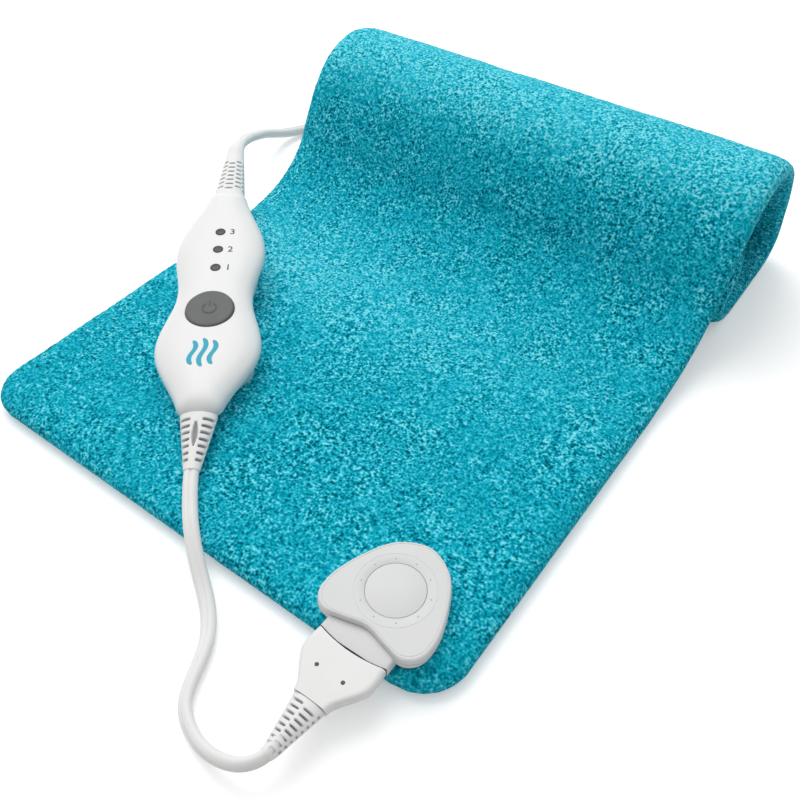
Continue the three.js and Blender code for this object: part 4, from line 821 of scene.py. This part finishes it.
def stroke(width, height, lean):
    """A flat printed stroke, upright about the origin; lean moves each point sideways by its height."""
    bm = bmesh.new()
    bmesh.ops.create_grid(bm, x_segments=2, y_segments=24, size=0.5)
    for vert in bm.verts:
        end = abs(2 * vert.co.y)
        narrow = math.sqrt(max(1 - max(end - 0.8, 0) ** 2 / 0.045, 0.02))
        vert.co = Vector((vert.co.x * width * narrow + lean(vert.co.y), vert.co.y * height, 0))
    bmesh.ops.solidify(bm, geom=bm.faces[:], thickness=PRINT_THICK)
    return bm


for number in (-1, 0, 1):
    wave = stroke(WAVE_WIDE, 20 if number == 0 else 17,
                  lambda share: WAVE_SWING * math.sin(2 * math.pi * share))
    piece(lay_on_face(wave, WAVE_SPACING * number + WAVES_AT[0], WAVES_AT[1]), f"heat_wave_{number + 2}",
          teal_ink, "pad", "grey", place=controller_place)

sign = bmesh.new()
inner, outer = (sign.verts.new((r * math.sin(SIGN_GAP), r * math.cos(SIGN_GAP), 0)) for r in SIGN_RADII)
sign.edges.new((inner, outer))
bmesh.ops.spin(sign, geom=sign.verts[:] + sign.edges[:], axis=(0, 0, 1), cent=(0, 0, 0), steps=40,
               angle=-(2 * math.pi - 2 * SIGN_GAP))
bmesh.ops.solidify(sign, geom=sign.faces[:], thickness=PRINT_THICK)
sign_place = controller_place @ Matrix.Translation((0, BUTTON_AT - 0.3, button_top + 0.26))
piece(sign, "power_sign_ring", dark_ink, "button", "dark", place=sign_place)
piece(stroke(1.0, 4.6, lambda share: 0), "power_sign_bar", dark_ink, "button", "dark",
      place=sign_place @ Matrix.Translation((0, 3.4, 0)))


# ---- Puck, clamped to the pad

CAP_TOP, LID_SHOULDER, LID_INSET, LID_ROUND, LID_LEVELS = 10.9, 9.6, 0.4, 1.2, 7
DISC_RADIUS, RING_RADIUS = 13.5, 18.3
DOTS, DOT_CIRCLE = 10, 15.9


def puck_ring(inset, z):
    """One level of the puck, drawn in evenly towards its middle."""
    share = 1 - inset / PUCK_WIDE
    return [Vector((p.x * share, p.y * share, z)) for p in puck_line]


def disc_ring(radius, z):
    """A round ring on the puck, point for point with its levels."""
    return [Vector((*(p.normalized() * radius), z)) for p in puck_line]


piece(loft([puck_ring(inset, z) for inset, z in (
    (2.4, 0.3), (1.6, 2), (0.9, 3.8), (0.4, 5.3), (0.1, 6.4), (0.2, 6.9), (0.6, 7.2))]),
    "puck_body", pale_abs, "pad", "off_white", "puck_base", place=connector_place)

lid_rings = [puck_ring(inset, z) for inset, z in (
    (0.9, 7.5), (0.45, 7.55), (0.3, 7.8), (0.3, 8.6), (LID_INSET, LID_SHOULDER))]
for k in range(1, LID_LEVELS + 1):
    turn = math.radians(90 * k / LID_LEVELS)
    lid_rings.append(puck_ring(LID_INSET + LID_ROUND * (1 - math.cos(turn)),
                               LID_SHOULDER + (CAP_TOP - LID_SHOULDER) * math.sin(turn)))
lid_rings += [puck_ring(inset, CAP_TOP - down) for inset, down in (
    (1.8, 0), (1.9, 0.18), (2.2, 0.18), (2.3, 0))]
lid_rings += [disc_ring(RING_RADIUS + wide, CAP_TOP - down) for wide, down in (
    (0.25, 0), (0.15, 0.12), (-0.15, 0.12), (-0.25, 0))]
lid_rings += [disc_ring(DISC_RADIUS + wide, CAP_TOP - down) for wide, down in (
    (0.35, 0), (0.2, 0.1), (0.15, 0.9))]
piece(loft(lid_rings), "puck_lid", pale_abs, "pad", "off_white", "puck_cap", place=connector_place)
piece(turned([(0, CAP_TOP - 0.8), (DISC_RADIUS, CAP_TOP - 0.8), (DISC_RADIUS, CAP_TOP - 0.25),
              (DISC_RADIUS - 0.1, CAP_TOP - 0.08), (DISC_RADIUS - 0.3, CAP_TOP), (0, CAP_TOP)], 128),
      "puck_centre", pale_abs, "pad", "off_white", "puck_disc", place=connector_place)
for number in range(DOTS):
    turn = math.radians(360 / DOTS * number - 90)
    spot = (DOT_CIRCLE * math.cos(turn), DOT_CIRCLE * math.sin(turn), CAP_TOP)
    piece(turned([(0, -0.05), (0.45, -0.05), (0.4, 0.05), (0.2, 0.08), (0, 0.1)], 16), f"puck_dot_{number}",
          dot_ink, "pad", "off_white", place=connector_place @ Matrix.Translation(spot))


# ---- Tongue of the puck and the plug that meets it, along a bowed joint

TONGUE_HALF, TONGUE_END, JOINT_BOW = 17.5, -30.1, 2.4
TONGUE_LOW, TONGUE_HIGH = 0.6, 7.2
SOCKET_HALF, SOCKET_LOW, SOCKET_HIGH, SOCKET_DEEP = 13.4, 1.3, 6.5, 12.4


def bow(x):
    """How far the joint's line bulges towards the plug."""
    return -JOINT_BOW * max(1 - (x / TONGUE_HALF) ** 2, 0)


def cross_ring(y, half_width, low, high, corner, bowed):
    """A rounded section across the connector; bowed is how much of the joint's bulge it takes."""
    middle, half_height = (low + high) / 2, (high - low) / 2
    return [Vector((x, y + bowed * bow(x), middle + z)) for x, z in oblong(half_width, half_height, corner)]


def tongue_skin():
    """The tongue, whose end face and socket are painted dark, as shade in the joint."""
    outside = [(-6, 0, 0), (-20, 0, 0.3), (TONGUE_END + 0.25, 0, 1), (TONGUE_END + 0.06, 0.06, 1),
               (TONGUE_END, 0.2, 1)]
    rings = [cross_ring(y, TONGUE_HALF - inset, TONGUE_LOW + inset, TONGUE_HIGH - inset, 1.2, bowed)
             for y, inset, bowed in outside]
    socket = [cross_ring(TONGUE_END + into, SOCKET_HALF, SOCKET_LOW, SOCKET_HIGH, 0.6, bowed)
              for into, bowed in ((0, 1), (0.4, 1), (SOCKET_DEEP, 0.2))]
    count = len(rings[0])
    # The end face and the socket take the painted shade.
    return loft(rings + socket, [[0] * count] * 4 + [[1] * count] * 4)


piece(tongue_skin(), "puck_tongue", pale_abs, "pad", "off_white", place=connector_place)

PLUG_HALF, PLUG_HEIGHT, PLUG_CORNER, PLUG_PARTING = 17.5, 4.2, 2.2, 0.1
PLUG_NECK_FROM, PLUG_NECK_DROP, PLUG_UNDER_IN, PLUG_BOW_GONE = 0.6, 0.06, 0.12, 0.55
PIP_SPREAD, PIP_BACK = 6.8, 14.7
PLUG_SHAPE = [(0, 1), (0.22, 1.03), (0.42, 1), (0.58, 0.86), (0.74, 0.68), (0.88, 0.54), (1, 0.48)]


def plug_skin(upper):
    """Half of the plug's case, from its bowed face to its neck, parted at the height of its pins."""
    plan = spline([(share * PLUG_LENGTH, wide * PLUG_HALF) for share, wide in PLUG_SHAPE], 0.9)
    stations = [(0, plan[0][1] - 0.3, 0.3), (0.08, plan[0][1] - 0.08, 0.08)]
    stations += [(along + 0.3 * (1 - along / PLUG_LENGTH), wide, 0) for along, wide in plan]
    rings = []
    for along, wide, inset in stations:
        share = along / PLUG_LENGTH
        neck = smooth_step((share - PLUG_NECK_FROM) / (1 - PLUG_NECK_FROM))
        high = PLUG_HEIGHT * (1 - PLUG_NECK_DROP * neck) - inset
        ring = cross_ring(PLUG_FACE - along, wide, PIN_HEIGHT - high, PIN_HEIGHT + high, PLUG_CORNER,
                          1 - smooth_step(share / PLUG_BOW_GONE))
        for point in ring:
            point.x *= 1 - PLUG_UNDER_IN * max((PIN_HEIGHT - point.z) / PLUG_HEIGHT, 0)
            limit = PIN_HEIGHT + (PLUG_PARTING if upper else -PLUG_PARTING)
            point.z = max(point.z, limit) if upper else min(point.z, limit)
        rings.append(ring)
    count = len(rings[0])
    # The face's first ring is painted dark, as shade in the joint with the puck.
    return loft(rings, [[1] * count] + [[0] * count] * (len(rings) - 1))


piece(plug_skin(True), "plug_upper", bright_abs, "plug", "white", "plug_top", place=connector_place)
piece(plug_skin(False), "plug_lower", bright_abs, "plug", "white", "plug_bottom", place=connector_place)
for name, x in (("plug_pin_left", -PIP_SPREAD), ("plug_pin_right", PIP_SPREAD)):
    piece(turned([(0, -0.6), (0.95, -0.6), (0.95, 0.02), (0.8, 0.06), (0, 0.06)], 24), name + "_head",
          smoked_acrylic, "plug", "dark", name,
          place=connector_place @ Matrix.Translation((x, PLUG_FACE - PIP_BACK, PIN_HEIGHT + PLUG_HEIGHT)))


# ---- Mains plug

MAINS_SHAPE = [(0, 0.64, 0.58), (0.16, 0.88, 0.86), (0.42, 1, 1), (0.8, 1, 1), (0.95, 0.97, 0.97),
               (1, 0.9, 0.9)]
MAINS_BODY_LENGTH, MAINS_HALF_WIDTH, MAINS_HALF_HEIGHT = 38, 12.5, 12
BLADE_LENGTH, BLADE_SEAT, BLADE_WIDTH, BLADE_THICK, BLADE_SPACING = 17, 8, 6.3, 1.5, 12.7
mains_plan = spline([(share * MAINS_BODY_LENGTH, wide * MAINS_HALF_WIDTH, high * MAINS_HALF_HEIGHT)
                     for share, wide, high in MAINS_SHAPE], 0.8)
mains_body = piece(
    loft([[Vector((x, along, z)) for x, z in oval(wide, high, 72, 3.2)] for along, wide, high in mains_plan]),
    "mains_body", white_abs, "pad", "white", "mains_plug_body", place=mains_plug_place)


def blade_skin():
    """One flat blade with a rounded tip edge."""
    bm = bmesh.new()
    bmesh.ops.create_cube(bm, size=1)
    bmesh.ops.scale(bm, verts=bm.verts, vec=(BLADE_THICK, BLADE_LENGTH + BLADE_SEAT, BLADE_WIDTH))
    tip = [e for e in bm.edges if all(v.co.y > 0 for v in e.verts)]
    bmesh.ops.bevel(bm, geom=tip, offset=0.6, segments=3, profile=0.5, affect="EDGES", material=-1)
    return bm


for name, side in (("mains_blade_line", -1), ("mains_blade_neutral", 1)):
    middle = MAINS_BODY_LENGTH + (BLADE_LENGTH - BLADE_SEAT) / 2
    piece(blade_skin(), name + "_tab", plated_steel, "pad", "steel", name,
                        place=mains_plug_place @ Matrix.Translation((side * BLADE_SPACING / 2, middle, 0)))


# ---- Floor and light

FLOOR_HALF = 4
SKY_FROM, SKY_BRIGHT = (-0.55, 0.35, 0.76), 0.88
KEY_AT, KEY_SIZE, KEY_POWER = (-0.5, 0.35, 1.2), 1.0, 7.9


def seen_as_background(tree):
    """1 for rays from the camera, and for those that metal and glass send on, else 0."""
    path = add_node(tree, "ShaderNodeLightPath").outputs
    shiny = add_node(tree, "ShaderNodeMath", {
        0: path["Is Glossy Ray"], 1: path["Is Transmission Ray"]}, operation="MAXIMUM")
    return add_node(tree, "ShaderNodeMath", {
        0: path["Is Camera Ray"], 1: shiny.outputs[0]}, operation="MAXIMUM").outputs[0]


floor_paint, floor_tree = new_material("pale_floor")
floor_shader = add_node(floor_tree, "ShaderNodeBsdfDiffuse", {"Color": linear("#F0F0F0")})
floor_shade = add_node(floor_tree, "ShaderNodeBsdfDiffuse", {"Color": linear("#FFFFFF")})
# The floor is lifted to white, most so far out, where less of the lamp's light falls.
outward = add_node(floor_tree, "ShaderNodeVectorMath", {
    0: add_node(floor_tree, "ShaderNodeTexCoord").outputs["Object"]}, operation="LENGTH")
lift_level = add_node(floor_tree, "ShaderNodeMapRange", {
    "Value": outward.outputs["Value"], "From Min": 0.5, "From Max": 1.6, "To Min": 0.27, "To Max": 0.6})
floor_lift = add_node(floor_tree, "ShaderNodeEmission", {
    "Color": (1, 1, 1, 1), "Strength": lift_level.outputs["Result"]})
floor_seen = add_node(floor_tree, "ShaderNodeAddShader", {
    0: floor_shade.outputs["BSDF"], 1: floor_lift.outputs["Emission"]})
floor_mix = add_node(floor_tree, "ShaderNodeMixShader", {
    0: seen_as_background(floor_tree), 1: floor_shader.outputs["BSDF"], 2: floor_seen.outputs["Shader"]})
add_node(floor_tree, "ShaderNodeOutputMaterial", {"Surface": floor_mix.outputs["Shader"]})
floor_mesh = bmesh.new()
bmesh.ops.create_grid(floor_mesh, x_segments=1, y_segments=1, size=FLOOR_HALF)
piece(floor_mesh, "floor", floor_paint, None, None)

world = bpy.data.worlds.new("studio")
scene.world = world
world.use_nodes = True
world_tree = world.node_tree
world_tree.nodes.clear()
# Soft light from the upper left: the room is bright on that side and dim on the other.
look = add_node(world_tree, "ShaderNodeTexCoord").outputs["Generated"]
sky_way = add_node(world_tree, "ShaderNodeVectorMath", {
    0: look, 1: SKY_FROM}, operation="DOT_PRODUCT")
sky_level = add_node(world_tree, "ShaderNodeMapRange", {
    "Value": sky_way.outputs["Value"], "From Min": -1.0, "To Min": 0.0, "To Max": SKY_BRIGHT})
world_level = add_node(world_tree, "ShaderNodeMix", {
    "Factor": seen_as_background(world_tree), "A": sky_level.outputs["Result"], "B": 1.0})
sky = add_node(world_tree, "ShaderNodeBackground", {
    "Color": (1, 1, 1, 1), "Strength": world_level.outputs["Result"]})
add_node(world_tree, "ShaderNodeOutputWorld", {"Surface": sky.outputs["Background"]})

key = bpy.data.objects.new("key", bpy.data.lights.new("key", "AREA"))
scene.collection.objects.link(key)
key.data.size = KEY_SIZE
key.data.energy = KEY_POWER
key.location = KEY_AT
key.rotation_euler = (-Vector(KEY_AT)).to_track_quat("-Z", "Y").to_euler()

scene.view_settings.view_transform = "Standard"
